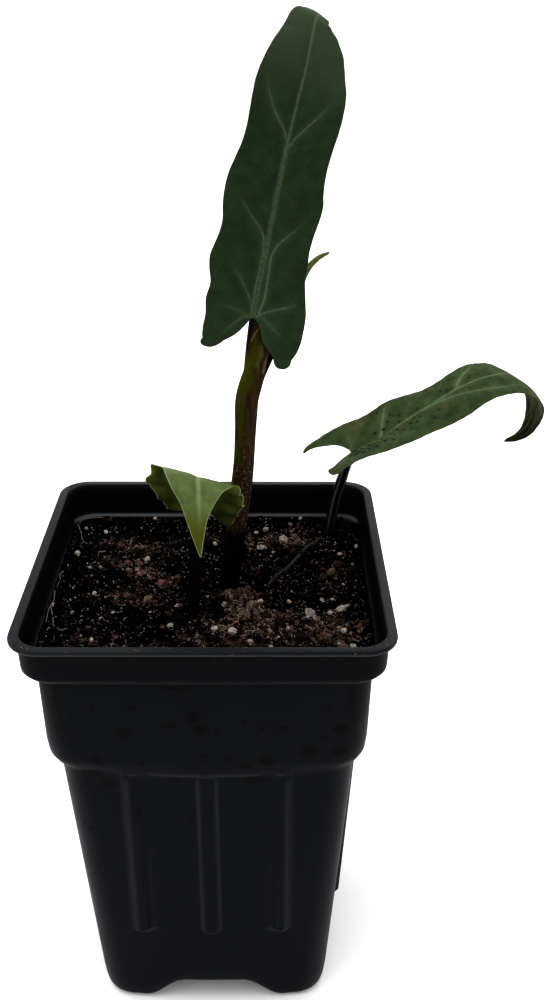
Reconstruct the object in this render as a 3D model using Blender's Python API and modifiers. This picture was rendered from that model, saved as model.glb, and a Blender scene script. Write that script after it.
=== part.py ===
"""A potted arrow-leaved alocasia: a deep square nursery pot, its potting mix and three leaves.

All sizes below are in millimetres and are turned to metres where a mesh is made. +Z is up,
the origin is the middle of the pot's base, and the pot's front face looks along -Y.
"""
import math
import random
from dataclasses import dataclass

import bmesh
import bpy
import numpy as np
from mathutils import Euler, Matrix, Vector, noise

MM = 0.001
GAP = 0.3

# Pot
POT_HEIGHT = 140.0
POT_WALL = 1.1
RIB_PLACES = (-21.0, 0.0, 21.0)
RIB_TOP_HALF_WIDTH = 1.9
RIB_FOOT_HALF_WIDTH = 3.0
ARCH_FLAT_HALF_WIDTH = 9.0
ARCH_FOOT_HALF_WIDTH = 22.0
WIDEST_STATION = 24.0
SIDE_FILL_STATION = 14.0
STATION_SPREAD = 0.94
CORNER_STEPS = 4
# Drain slot in the roof of each base arch: length, width, and the place of its middle
SLOT_LENGTH = 9.0
SLOT_WIDTH = 3.6
SLOT_DEPTH = 16.0
SLOT_FROM_CENTRE = 30.6
SLOT_MIDDLE_HEIGHT = 6.0

# Potting mix
SOIL_CLEARANCE = POT_WALL + 0.5
SOIL_FLOOR_BELOW = 8.0
SOIL_LEVEL = 127.2
SOIL_EDGE_LEVEL = 128.3
SOIL_LOWEST_BY_LEDGE = 127.8
SOIL_RINGS = 11
SOIL_EDGE_HALF_WIDTH = 45.2
SOIL_STATIONS = (-24.0, -14.0, -9.0, 0.0, 9.0, 14.0, 24.0)
LOOSE_GRAINS = 14
LOOSE_GRAIN_REACH = 38.0
LOOSE_GRAIN_SIZES = (1.8, 2.6)
GRAIN_SPACING = 5.0
GRAIN_CLEAR_OF_STEMS = 7.0
GRAIN_SEED = 14

# Leaves
BLADE_THICKNESS = 0.7
BLADE_ROWS = 24
LOBE_ROWS = 5
HALF_BLADE_COLUMNS = 4


@dataclass(frozen=True)
class Section:
    """One level of the pot's outside, as a rounded square with gently bowed sides."""

    height: float
    half_width: float
    corner_radius: float
    bow: float
    rib_rise: float = 0.0
    arch_height: float = -1.0
    corner_lift: float = 0.0


POT_SECTIONS = (
    Section(0.0, 26.0, 7.0, 0.5),
    Section(0.0, 33.0, 8.4, 1.9, arch_height=8.0),
    Section(0.5, 34.8, 8.8, 2.6, arch_height=8.2),
    Section(1.9, 35.8, 9.0, 2.9, arch_height=8.7),
    Section(4.6, 36.35, 9.0, 3.1, arch_height=9.8),
    Section(8.6, 36.8, 9.0, 3.2, arch_height=12.5),
    Section(31.2, 38.35, 9.0, 3.2),
    Section(33.4, 38.5, 9.0, 3.2, rib_rise=1.4),
    Section(92.2, 42.55, 9.0, 3.2, rib_rise=0.8),
    Section(94.6, 42.75, 9.0, 3.0, rib_rise=0.7, corner_lift=2.0),
    Section(96.2, 43.6, 9.0, 2.0, corner_lift=1.8),
    Section(99.4, 44.15, 9.0, 1.0, corner_lift=1.0),
    Section(104.5, 44.35, 9.0, 0.6),
    Section(126.3, 44.8, 9.0, 0.3),
    Section(126.9, 47.2, 8.6, 0.2),
    Section(128.4, 47.95, 8.2, 0.1),
    Section(POT_HEIGHT - POT_WALL, 48.1, 8.0, 0.0),
    Section(POT_HEIGHT - POT_WALL, 50.0, 8.2, 0.0),
)
# The mix follows these sections of the pot's wall: base, arches, step and upper wall
SOIL_SECTIONS = tuple(POT_SECTIONS[i] for i in (0, 1, 2, 3, 5, 8, 9, 10, 12))

# Mounds and hollows of the potting mix: x, y, height, spread
SOIL_FORMS = (
    (8.0, -14.0, 2.6, 15.0),
    (-24.0, 10.0, 1.4, 14.0),
    (22.0, 30.0, 1.2, 12.0),
    (-6.0, 2.0, -1.2, 8.0),
    (26.0, 8.0, -1.0, 10.0),
)
# The big perlite grains and bark chips: x, y, size
LARGE_GRAINS = (
    (29.0, -13.0, 3.8),
    (21.6, 33.0, 3.0),
    (16.0, 27.0, 2.0),
    (6.5, -24.0, 2.6),
    (1.5, -23.0, 2.4),
    (22.0, -7.0, 2.2),
    (36.0, -6.0, 2.4),
    (36.5, -12.0, 2.4),
    (17.5, -27.0, 2.2),
    (-31.5, 32.0, 2.2),
    (-34.0, 24.0, 2.6),
    (-19.0, 17.0, 2.4),
    (-28.5, -7.0, 2.4),
    (-15.5, 29.0, 2.2),
)


@dataclass(frozen=True)
class Leaf:
    """One arrow-shaped blade, laid out along the curve of its midrib.

    The midrib runs from behind the lobes, through the point at index `attachment`, to the tip.
    Places along it are measured from the attachment, and are negative in the two lobes. Each
    sinus, margin, fold and roll entry pairs such a place with a distance or an angle in degrees.
    """

    name: str
    midrib: tuple
    attachment: int
    facing: tuple
    roll: tuple
    right_sinus: tuple
    right_margin: tuple
    right_fold: tuple
    left_sinus: tuple
    left_margin: tuple
    left_fold: tuple
    wave_height: float
    wave_length: float


TALL_LEAF = Leaf(
    name="tall_leaf_blade",
    midrib=(
        (10.6, 3.6, 197.0), (12.7, 5.0, 209.0), (14.7, 7.4, 219.0), (16.9, 9.6, 229.0),
        (20.1, 12.4, 243.5), (23.1, 14.4, 259.0), (26.2, 15.6, 271.0), (27.6, 17.0, 277.5),
        (28.6, 19.6, 281.2), (30.0, 23.4, 281.6), (31.6, 27.0, 278.8), (32.8, 29.6, 274.6),
    ),
    attachment=1,
    facing=(0.05, -1.0, 0.1),
    roll=((-12, 0), (0, 0), (40, 0), (58, 4), (70, 16), (76, 24), (92, 28)),
    right_sinus=((-12.2, 9.8), (-9, 6.2), (-5.5, 3.4), (-2, 2.0), (0, 0.5)),
    right_margin=(
        (-12.2, 9.8), (-11, 12.6), (-6, 14.2), (0, 14.4), (6, 13.2), (12, 11.6), (20, 10.8),
        (28, 11.6), (36, 11), (46, 11), (56, 11.4), (64, 9.9), (70, 8.2), (76, 6.3), (84, 3.2),
        (90, 0),
    ),
    right_fold=((-12, 4), (0, 6), (40, 8), (92, 8)),
    left_sinus=((-9.2, 11), (-7.6, 8), (-5.4, 4.6), (-2.4, 2), (0, 0.5)),
    left_margin=(
        (-9.2, 11), (-8.4, 12.6), (-4.6, 13.1), (3, 13.5), (9, 13.4), (14, 14.7), (20, 14.2),
        (26, 13.1), (34, 14.7), (42, 12.8), (50, 11.6), (58, 12.3), (66, 11.0), (71, 9.0),
        (75, 7.0), (80, 4.5), (85, 2.4), (90, 0),
    ),
    left_fold=((-12, 4), (0, 6), (40, 8), (69, 8), (76, -16), (92, -30)),
    wave_height=0.8,
    wave_length=19.0,
)

ARCHING_LEAF = Leaf(
    name="arching_leaf_blade",
    midrib=(
        (29.2, 32.1, 151.7), (42.3, 34.0, 157.7), (51.2, 35.8, 161.6), (58.3, 37.6, 166.1),
        (66.5, 39.4, 170.9), (75.1, 41.2, 175.9), (84.6, 43.0, 179.2), (90.6, 45.4, 179.2),
        (95.8, 48.4, 176.0), (101.2, 50.6, 171.0), (102.8, 51.8, 164.4), (100.2, 51.6, 157.6),
        (93.2, 50.0, 153.8),
    ),
    attachment=1,
    facing=(-0.35, -0.28, 1.0),
    roll=((-12, 0), (0, 0), (20, 3), (40, 5), (60, 0), (100, 0)),
    right_sinus=((-9, 6.4), (-6, 4.4), (-3, 2.2), (0, 0.4)),
    right_margin=(
        (-9, 6.4), (-8, 9.2), (-4, 10), (0, 9.4), (8, 9.2), (20, 9.6), (32, 10), (44, 10.2),
        (54, 9.2), (64, 7.8), (74, 5.6), (84, 2.8), (92, 0),
    ),
    right_fold=((-9, 14), (0, 16), (12, 12), (26, -4), (40, -12), (60, -12), (92, -8)),
    left_sinus=((-14, 9), (-10, 8.4), (-6.7, 7), (-2.4, 4.2), (0, 0.4)),
    left_margin=(
        (-14, 9), (-12.5, 10.8), (-8, 11.4), (0, 12.2), (8, 11.4), (16, 10.6), (24, 11.4),
        (32, 9.2), (40, 8.8), (46, 10.4), (54, 9.6), (64, 7.8), (74, 5.6), (84, 2.8), (92, 0),
    ),
    left_fold=((-14, 2), (0, 4), (12, 2), (26, -6), (40, -12), (60, -12), (92, -8)),
    wave_height=0.5,
    wave_length=22.0,
)

YOUNG_LEAF = Leaf(
    name="young_leaf_blade",
    midrib=(
        (-2.4, 3.4, 149.0), (-2.4, -1.6, 156.6), (-2.3, -5.4, 163.0), (-2.2, -9.2, 168.4),
        (-2.0, -12.8, 171.0), (-1.8, -16.6, 169.6), (-1.5, -20.2, 164.5), (-1.3, -22.8, 158.5),
        (-1.1, -24.6, 152.8),
    ),
    attachment=1,
    facing=(-0.1, 0.8, 0.7),
    roll=((-8, -18), (0, -18), (10, -16), (18, -13), (26, -6), (42, 0)),
    right_sinus=((-7.5, 7), (-5, 4.6), (-2.5, 2.4), (0, 0.4)),
    right_margin=(
        (-7.5, 7), (-6.5, 9), (-3, 11.4), (2, 13.8), (8, 15.2), (13, 13.6), (18, 12), (21.5, 8.8),
        (26, 5.4), (31, 3.6), (36, 2), (42, 0),
    ),
    right_fold=((-8, -4), (0, -6), (8, -4), (16, 6), (42, 6)),
    left_sinus=((-7.5, 6), (-5, 4), (-2.5, 2.2), (0, 0.4)),
    left_margin=(
        (-7.5, 6), (-6.5, 8.6), (-3, 10.2), (2, 11.8), (8, 12.6), (14, 11.8), (18, 10.8),
        (21.5, 8.8), (26, 5.2), (31, 2.4), (36, 1.2), (42, 0),
    ),
    left_fold=((-8, 4), (0, 2), (10, -8), (18, -10), (26, 2), (42, 6)),
    wave_height=0.9,
    wave_length=7.4,
)


@dataclass(frozen=True)
class Stem:
    """A round stem: its route from the bottom up and its radius at each point."""

    name: str
    route: tuple
    radii: tuple
    sides: int = 10


TALL_PETIOLE = Stem(
    name="tall_leaf_petiole",
    route=(
        (1.6, -3.0, 108.3), (3.8, 1.4, 118.0), (5.3, 3.6, 129.0), (7.4, 4.2, 146.0),
        (9.5, 4.6, 163.0), (10.7, 5.0, 177.0), (11.9, 6.0, 192.0), (12.5, 7.0, 202.0),
        (12.9, 7.7, 208.0), (13.5, 8.3, 213.0), (14.2, 8.9, 217.5),
    ),
    radii=(2.6, 2.9, 3.0, 3.0, 3.0, 2.7, 2.4, 2.3, 1.9, 1.4, 0.7),
    sides=12,
)
SHEATH = Stem(
    name="tall_leaf_sheath",
    route=(
        (8.0, 3.4, 146.0), (8.8, 3.0, 157.0), (9.7, 3.0, 168.0), (10.4, 3.1, 178.0),
        (11.5, 3.9, 187.0), (13.2, 5.4, 195.0), (14.7, 6.8, 202.0), (15.4, 7.5, 206.5),
    ),
    radii=(1.0, 2.0, 2.3, 2.5, 3.1, 2.9, 1.8, 0.5),
    sides=12,
)
SPEAR = Stem(
    name="new_leaf_spear",
    route=(
        (12.9, 5.9, 180.0), (13.8, 6.3, 186.0), (15.2, 6.8, 192.0), (17.6, 8.0, 198.5),
        (21.3, 10.6, 207.0), (25.2, 13.4, 216.0), (28.4, 14.8, 221.2), (30.6, 15.1, 223.0),
        (33.2, 15.2, 224.2),
    ),
    radii=(1.1, 1.25, 1.3, 1.3, 1.2, 1.0, 0.8, 0.65, 0.3),
    sides=8,
)
ARCHING_PETIOLE = Stem(
    name="arching_leaf_petiole",
    route=(
        (33.6, 34.0, 107.3), (35.4, 37.2, 118.0), (36.7, 38.6, 128.0), (38.3, 38.4, 139.0),
        (40.4, 36.8, 149.0), (42.0, 34.6, 156.3),
    ),
    radii=(1.7, 1.8, 1.7, 1.65, 1.6, 1.4),
)
YOUNG_PETIOLE = Stem(
    name="young_leaf_petiole",
    route=(
        (-1.8, -8.6, 106.7), (-3.4, -12.4, 117.0), (-4.1, -13.8, 127.0), (-3.9, -11.6, 139.0),
        (-3.1, -6.6, 149.0), (-2.5, -2.6, 155.3),
    ),
    radii=(1.7, 1.8, 1.7, 1.6, 1.5, 1.2),
)
STRAND_ROUTE = ((33.4, 33.6), (28.2, 23.6), (22.4, 13.4), (16.6, 3.6))
STRAND_RADII = (0.75, 0.7, 0.55, 0.4)

# The corms and their thick roots: centre, half sizes, then each root's heading and length
MAIN_CORM = ((0.0, -5.0, 96.0), (7.0, 8.0, 11.6), ((0, 30), (75, 34), (150, 28), (215, 36), (290, 32)))
OFFSET_CORM = ((33.6, 33.4, 101.0), (4.0, 4.0, 6.0), ((190, 24), (260, 22)))
ROOT_RADIUS = 1.1
# How far each stem's hole runs on below the stem, to open into the hollow of its corm
CORM_REACH = 1.8


def hermite(at, knots, values):
    """Read a smooth curve through values, given at knots, at the places in at."""
    knots = np.asarray(knots, float)
    values = np.asarray(values, float)
    slopes = np.gradient(values, knots, axis=0)
    i = np.clip(np.searchsorted(knots, at, side="right") - 1, 0, len(knots) - 2)
    span = knots[i + 1] - knots[i]
    t = np.clip((at - knots[i]) / span, 0.0, 1.0)
    if values.ndim == 2:
        span = span[:, None]
        t = t[:, None]
    return (
        (2 * t**3 - 3 * t**2 + 1) * values[i]
        + (t**3 - 2 * t**2 + t) * span * slopes[i]
        + (3 * t**2 - 2 * t**3) * values[i + 1]
        + (t**3 - t**2) * span * slopes[i + 1]
    )


def unit(vectors):
    """Scale each row to length one."""
    return vectors / np.linalg.norm(vectors, axis=-1, keepdims=True)


def smooth_route(points, steps):
    """Read a smooth curve through the points at evenly spaced places along it."""
    points = np.asarray(points, float)
    chord = np.concatenate(([0.0], np.cumsum(np.linalg.norm(np.diff(points, axis=0), axis=1))))
    at = np.linspace(0.0, chord[-1], steps)
    return hermite(at, chord, points), at, chord


def new_material(name, colour, roughness):
    """A plain Principled material; colour is linear red, green and blue."""
    material = bpy.data.materials.new(name)
    material.use_nodes = True
    shader = material.node_tree.nodes["Principled BSDF"]
    shader.inputs["Base Color"].default_value = (*colour, 1.0)
    shader.inputs["Roughness"].default_value = roughness
    shader.inputs["Metallic"].default_value = 0.0
    return material


def new_object(name, mesh, collection, material=None):
    """Wrap a mesh in an object, link it and give it its material."""
    obj = bpy.data.objects.new(name, mesh)
    collection.objects.link(obj)
    if material is not None:
        mesh.materials.append(material)
    return obj


def mesh_from(name, vertices, faces):
    """Make a mesh in metres from vertices in millimetres."""
    mesh = bpy.data.meshes.new(name)
    mesh.from_pydata([Vector(v) * MM for v in vertices], [], faces)
    mesh.update()
    return mesh


def apply_modifiers(obj):
    """Replace an object's mesh by its evaluated one and drop its modifiers."""
    bpy.context.view_layer.update()
    evaluated = obj.evaluated_get(bpy.context.evaluated_depsgraph_get())
    mesh = bpy.data.meshes.new_from_object(evaluated)
    obj.modifiers.clear()
    obj.data = mesh


def section_outline(section, stations, inset=0.0, ribs=True):
    """Points of one section, counter-clockwise from the front side, with heights.

    A station is a place across a side. Those listed as rib tops are raised by the rib's rise.
    """
    half = section.half_width - inset
    radius = max(section.corner_radius - inset, 2.0)
    # The bow lets the straight part end a little short, by an amount that depends on that end
    straight = half - radius
    for _ in range(6):
        straight = half - section.bow * (straight / half) ** 2 - radius
    spread = min(1.0, STATION_SPREAD * straight / WIDEST_STATION)
    arched = section.height if section.arch_height < 0 else section.arch_height
    side = []
    for station in stations:
        across = station * spread
        out = half - section.bow * (across / half) ** 2
        nearest = min(abs(station - place) for place in RIB_PLACES)
        if ribs and nearest < RIB_TOP_HALF_WIDTH + 0.01:
            out += section.rib_rise
        fade = (ARCH_FOOT_HALF_WIDTH - abs(station)) / (ARCH_FOOT_HALF_WIDTH - ARCH_FLAT_HALF_WIDTH)
        fade = min(max(fade, 0.0), 1.0)
        arch = fade * fade * (3.0 - 2.0 * fade)
        lift = section.corner_lift * (across / half) ** 2
        side.append((across, -out, section.height + (arched - section.height) * arch + lift))
    for step in range(CORNER_STEPS + 1):
        angle = math.radians(90.0 * step / CORNER_STEPS - 90.0)
        x = straight + radius * math.cos(angle)
        y = -straight + radius * math.sin(angle)
        side.append((x, y, section.height + section.corner_lift * (straight / half) ** 2))
    outline = []
    for quarter in range(4):
        turn = Matrix.Rotation(math.radians(90.0 * quarter), 3, "Z")
        outline += [turn @ Vector(point) for point in side]
    return outline


def bridge(rings):
    """Quads that join rings of equal length, facing out for rings that rise and run round."""
    count = len(rings[0])
    faces = []
    for row in range(len(rings) - 1):
        low = row * count
        high = low + count
        for i in range(count):
            j = (i + 1) % count
            faces.append((low + i, low + j, high + j, high + i))
    return faces


def rib_stations():
    """Places across a side that the ribs, the base arch and the plain wall need."""
    stations = [-SIDE_FILL_STATION, -ARCH_FLAT_HALF_WIDTH, ARCH_FLAT_HALF_WIDTH, SIDE_FILL_STATION]
    for place in RIB_PLACES:
        for reach in (RIB_TOP_HALF_WIDTH, RIB_FOOT_HALF_WIDTH):
            stations += [place - reach, place + reach]
    return sorted(stations)


def make_pot(collection, cutters, material):
    """The pot: one open skin given its wall by Solidify, with a drain slot in each base arch."""
    rings = [section_outline(section, rib_stations()) for section in POT_SECTIONS]
    floor = tuple(reversed(range(len(rings[0]))))
    mesh = mesh_from("pot", [point for ring in rings for point in ring], [floor] + bridge(rings))
    pot = new_object("pot", mesh, collection, material)
    wall = pot.modifiers.new("wall", "SOLIDIFY")
    wall.thickness = POT_WALL * MM
    wall.offset = -1.0
    wall.use_even_offset = True
    place = Matrix.Translation(Vector((0.0, -SLOT_FROM_CENTRE, SLOT_MIDDLE_HEIGHT)) * MM)
    size = Matrix.Diagonal((SLOT_LENGTH * MM, SLOT_WIDTH * MM, SLOT_DEPTH * MM, 1.0))
    for quarter in range(4):
        bpy.ops.mesh.primitive_cube_add(size=1.0)
        slot = bpy.context.object
        slot.name = f"drain_slot_{quarter}"
        turn = Matrix.Rotation(math.radians(90.0 * quarter), 4, "Z")
        slot.data.transform(turn @ place @ size)
        move_to(slot, cutters)
        cut(pot, slot)
    apply_modifiers(pot)
    return pot


def move_to(obj, collection):
    """Put an object in one collection only, and mark cutters as such."""
    for owner in list(obj.users_collection):
        owner.objects.unlink(obj)
    collection.objects.link(obj)
    obj.hide_render = True
    obj.display_type = "WIRE"


def cut(target, cutter):
    """Cut one closed mesh out of another."""
    boolean = target.modifiers.new("cut_" + cutter.name, "BOOLEAN")
    boolean.operation = "DIFFERENCE"
    boolean.solver = "EXACT"
    boolean.object = cutter


def fuse(target, pieces):
    """Join a collection of closed meshes to the target by one union, then remove them."""
    boolean = target.modifiers.new("fuse", "BOOLEAN")
    boolean.operation = "UNION"
    boolean.solver = "EXACT"
    boolean.operand_type = "COLLECTION"
    boolean.collection = pieces
    apply_modifiers(target)
    for piece in list(pieces.objects):
        bpy.data.objects.remove(piece)
    bpy.data.collections.remove(pieces)


def soil_height(x, y):
    """Height of the potting mix at a place, in millimetres."""
    height = SOIL_LEVEL
    for cx, cy, rise, spread in SOIL_FORMS:
        height += rise * math.exp(-((x - cx) ** 2 + (y - cy) ** 2) / spread**2)
    height += 1.5 * noise.noise(Vector((x / 9.0, y / 9.0, 3.7)))
    height += 1.0 * noise.noise(Vector((x / 4.2, y / 4.2, 8.1)))
    return height


def soil_body(collection, material):
    """The potting mix as one block that follows the pot's inside, with a lumpy top."""
    rings = []
    for section in SOIL_SECTIONS:
        ring = section_outline(section, SOIL_STATIONS, SOIL_CLEARANCE, ribs=False)
        raise_by = SOIL_CLEARANCE if section.height < SOIL_FLOOR_BELOW else 0.0
        rings.append([point + Vector((0.0, 0.0, raise_by)) for point in ring])
    ledge = Section(SOIL_LEVEL - 0.5, SOIL_EDGE_HALF_WIDTH - 2.7, 7.4, 0.4)
    rings.append(section_outline(ledge, SOIL_STATIONS, ribs=False))
    edge = Section(SOIL_EDGE_LEVEL, SOIL_EDGE_HALF_WIDTH, 7.4, 0.3)
    edge_ring = section_outline(edge, SOIL_STATIONS, ribs=False)
    rings.append(edge_ring)
    for step in range(1, SOIL_RINGS):
        scale = 1.0 - (step / SOIL_RINGS) ** 1.1
        ring = [Vector((p.x * scale, p.y * scale, 0.0)) for p in edge_ring]
        for point in ring:
            lowest = SOIL_LOWEST_BY_LEDGE if step == 1 else 0.0
            point.z = max(soil_height(point.x, point.y), lowest)
        rings.append(ring)
    faces = [tuple(reversed(range(len(rings[0]))))] + bridge(rings)
    vertices = [point for ring in rings for point in ring]
    last = len(vertices) - len(rings[0])
    vertices.append(Vector((0.0, 0.0, soil_height(0.0, 0.0))))
    for i in range(len(rings[0])):
        faces.append((last + i, last + (i + 1) % len(rings[0]), len(vertices) - 1))
    return new_object("potting_mix", mesh_from("potting_mix", vertices, faces), collection, material)


def grain_spots(draw):
    """Places and sizes of the coarse grains: the large ones, then loose ones clear of the stems."""
    stems = [stem.route[2][:2] for stem in (TALL_PETIOLE, ARCHING_PETIOLE, YOUNG_PETIOLE)]
    kept_clear = stems + list(STRAND_ROUTE)
    spots = list(LARGE_GRAINS)
    while len(spots) < len(LARGE_GRAINS) + LOOSE_GRAINS:
        x = draw.uniform(-LOOSE_GRAIN_REACH, LOOSE_GRAIN_REACH)
        y = draw.uniform(-LOOSE_GRAIN_REACH, LOOSE_GRAIN_REACH)
        from_grains = min(math.hypot(x - spot[0], y - spot[1]) for spot in spots)
        from_stems = min(math.hypot(x - spot[0], y - spot[1]) for spot in kept_clear)
        if from_grains > GRAIN_SPACING and from_stems > GRAIN_CLEAR_OF_STEMS:
            spots.append((x, y, draw.uniform(*LOOSE_GRAIN_SIZES)))
    return spots


def make_grain(index, x, y, size, draw, collection):
    """One angular grain of perlite or bark, sunk half into the mix."""
    mesh = bpy.data.meshes.new(f"grain_{index}")
    shape = bmesh.new()
    bmesh.ops.create_icosphere(shape, subdivisions=1, radius=0.5 * size)
    stretch = Matrix.Diagonal((draw.uniform(0.9, 1.2), draw.uniform(0.75, 1.0), 0.8, 1.0))
    turn = Euler([draw.uniform(0.0, math.tau) for _ in range(3)]).to_matrix().to_4x4()
    place = Matrix.Translation((x, y, soil_height(x, y) + 0.1 * size))
    matrix = Matrix.Scale(MM, 4) @ place @ turn @ stretch
    bmesh.ops.transform(shape, matrix=matrix, verts=shape.verts)
    shape.to_mesh(mesh)
    shape.free()
    new_object(mesh.name, mesh, collection)


def make_soil(collection, cutters, material, hollows):
    """The potting mix with its coarse grains fused on and a plain hole for each stem."""
    soil = soil_body(collection, material)
    grains = bpy.data.collections.new("grains")
    bpy.context.scene.collection.children.link(grains)
    draw = random.Random(GRAIN_SEED)
    for index, (x, y, size) in enumerate(grain_spots(draw)):
        make_grain(index, x, y, size, draw, grains)
    fuse(soil, grains)
    for hollow in hollows:
        move_to(hollow, cutters)
        cut(soil, hollow)
    apply_modifiers(soil)
    return soil


def tube(name, route, radii, sides, collection, material=None, extra=0.0, lengthen=0.0):
    """A tapered tube along a smooth curve, as one closed mesh.

    extra widens it and lengthen carries both ends further, for a hole with clearance.
    """
    points = np.asarray(route, float)
    points[0] -= unit(points[1] - points[0]) * lengthen
    points[-1] += unit(points[-1] - points[-2]) * lengthen
    steps = 2 * (len(points) - 1) + 1
    places, at, chord = smooth_route(points, steps)
    widths = hermite(at, chord, np.asarray(radii, float)) + extra
    curve = bpy.data.curves.new(name, "CURVE")
    curve.dimensions = "3D"
    curve.bevel_depth = MM
    curve.bevel_resolution = sides // 2 - 2
    curve.use_fill_caps = True
    spline = curve.splines.new("POLY")
    spline.points.add(steps - 1)
    for point, place, width in zip(spline.points, places, widths):
        point.co = (*(place * MM), 1.0)
        point.radius = width
    holder = bpy.data.objects.new(name + "_curve", curve)
    collection.objects.link(holder)
    bpy.context.view_layer.update()
    evaluated = holder.evaluated_get(bpy.context.evaluated_depsgraph_get())
    mesh = bpy.data.meshes.new_from_object(evaluated)
    bpy.data.objects.remove(holder)
    shape = bmesh.new()
    shape.from_mesh(mesh)
    bmesh.ops.remove_doubles(shape, verts=shape.verts, dist=0.00001)
    bmesh.ops.recalc_face_normals(shape, faces=shape.faces)
    shape.to_mesh(mesh)
    shape.free()
    mesh.materials.clear()
    return new_object(name, mesh, collection, material)


def midrib_frames(leaf):
    """Dense points along the midrib with their places, sideways and facing directions."""
    points, at, chord = smooth_route(leaf.midrib, 400)
    arc = np.concatenate(([0.0], np.cumsum(np.linalg.norm(np.diff(points, axis=0), axis=1))))
    start = int(np.argmin(np.abs(at - chord[leaf.attachment])))
    along = unit(np.gradient(points, arc, axis=0))
    facing = np.zeros_like(along)
    first = np.asarray(leaf.facing, float)
    facing[start] = unit(first - first.dot(along[start]) * along[start])
    order = list(range(start + 1, len(arc))) + list(range(start - 1, -1, -1))
    for i in order:
        previous = facing[i - 1] if i > start else facing[i + 1]
        facing[i] = unit(previous - previous.dot(along[i]) * along[i])
    sideways = np.cross(along, facing)
    places = arc - arc[start]
    knots, angles = zip(*leaf.roll)
    roll = np.radians(hermite(places, knots, angles))[:, None]
    turned_facing = facing * np.cos(roll) + sideways * np.sin(roll)
    turned_sideways = sideways * np.cos(roll) - facing * np.sin(roll)
    return places, points, turned_sideways, turned_facing


def half_blade(leaf, frames, rows, sign, sinus, margin, fold):
    """Grid of points of one half blade, from the midrib or sinus out to the margin."""
    places, points, sideways, facing = frames
    sampled = [
        np.stack([np.interp(rows, places, track[:, axis]) for axis in range(3)], axis=1)
        for track in (points, sideways, facing)
    ]
    centre, side, face = sampled
    inner = np.where(rows < 0.0, hermite(rows, *zip(*sinus)), 0.0)
    outer = np.maximum(hermite(rows, *zip(*margin)), 0.0)
    inner = np.clip(inner, 0.0, outer)
    angle = np.radians(hermite(rows, *zip(*fold)))
    widest = outer.max()
    grid = np.zeros((len(rows), HALF_BLADE_COLUMNS + 1, 3))
    for column in range(HALF_BLADE_COLUMNS + 1):
        out = inner + (outer - inner) * column / HALF_BLADE_COLUMNS
        wave = leaf.wave_height * np.sin(math.tau * (rows / leaf.wave_length + 0.25 * sign))
        lift = out * np.sin(angle) + wave * (out / widest) ** 2
        grid[:, column] = centre + sign * side * (out * np.cos(angle))[:, None] + face * lift[:, None]
    return grid


def make_blade(leaf, collection, material):
    """One leaf blade: two half-blade grids that share the midrib, thickened by Solidify."""
    frames = midrib_frames(leaf)
    tip = frames[0][-1]
    blade_rows = np.linspace(0.0, tip, BLADE_ROWS + 1)
    shape = bmesh.new()
    shared = []
    for sign, sinus, margin, fold in (
        (1, leaf.right_sinus, leaf.right_margin, leaf.right_fold),
        (-1, leaf.left_sinus, leaf.left_margin, leaf.left_fold),
    ):
        lobe_rows = np.linspace(margin[0][0], 0.0, LOBE_ROWS + 1)[:-1]
        grid = half_blade(leaf, frames, np.concatenate((lobe_rows, blade_rows)), sign, sinus, margin, fold)
        rows = []
        for r, line in enumerate(grid):
            collapsed = r in (0, len(grid) - 1)
            made = []
            for c, point in enumerate(line):
                on_midrib = c == 0 and r >= LOBE_ROWS
                if on_midrib and sign < 0:
                    made.append(shared[r - LOBE_ROWS])
                elif collapsed and c > 0:
                    made.append(made[0])
                else:
                    made.append(shape.verts.new(Vector(point) * MM))
                if on_midrib and sign > 0:
                    shared.append(made[0])
            rows.append(made)
        for low, high in zip(rows, rows[1:]):
            for c in range(HALF_BLADE_COLUMNS):
                corners = (low[c], low[c + 1], high[c + 1], high[c])
                face = list(dict.fromkeys(corners if sign > 0 else reversed(corners)))
                if len(face) > 2:
                    shape.faces.new(face)
    bmesh.ops.triangulate(shape, faces=shape.faces)
    mesh = bpy.data.meshes.new(leaf.name)
    shape.to_mesh(mesh)
    shape.free()
    mesh.shade_smooth()
    blade = new_object(leaf.name, mesh, collection, material)
    thickness = blade.modifiers.new("thickness", "SOLIDIFY")
    thickness.thickness = BLADE_THICKNESS * MM
    thickness.offset = 0.0
    return blade


def make_corm(name, plan, collection, material=None, extra=0.0):
    """An underground corm with its thick roots, fused in one piece."""
    centre, half_sizes, roots = plan
    mesh = bpy.data.meshes.new(name)
    shape = bmesh.new()
    bmesh.ops.create_uvsphere(shape, u_segments=10, v_segments=7, radius=1.0)
    size = Matrix.Diagonal((*[half + extra for half in half_sizes], 1.0))
    bmesh.ops.transform(
        shape, matrix=Matrix.Scale(MM, 4) @ Matrix.Translation(centre) @ size, verts=shape.verts
    )
    shape.to_mesh(mesh)
    shape.free()
    corm = new_object(name, mesh, collection, material)
    limbs = bpy.data.collections.new(name + "_roots")
    bpy.context.scene.collection.children.link(limbs)
    for index, (heading, length) in enumerate(roots):
        way = Vector((math.cos(math.radians(heading)), math.sin(math.radians(heading)), 0.0))
        start = Vector(centre) + way * half_sizes[0] * 0.4
        route = [
            start + way * length * share + Vector((0.0, 0.0, -length * drop))
            for share, drop in ((0.0, 0.0), (0.35, 0.3), (0.6, 0.85), (0.7, 1.4))
        ]
        tube(f"{name}_root_{index}", route, (ROOT_RADIUS, 1.0, 0.8, 0.5), 6, limbs, None, extra, extra)
    fuse(corm, limbs)
    return corm


def make_stem(stem, collection, material=None):
    """A stem as one closed tube."""
    return tube(stem.name, stem.route, stem.radii, stem.sides, collection, material)


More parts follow.
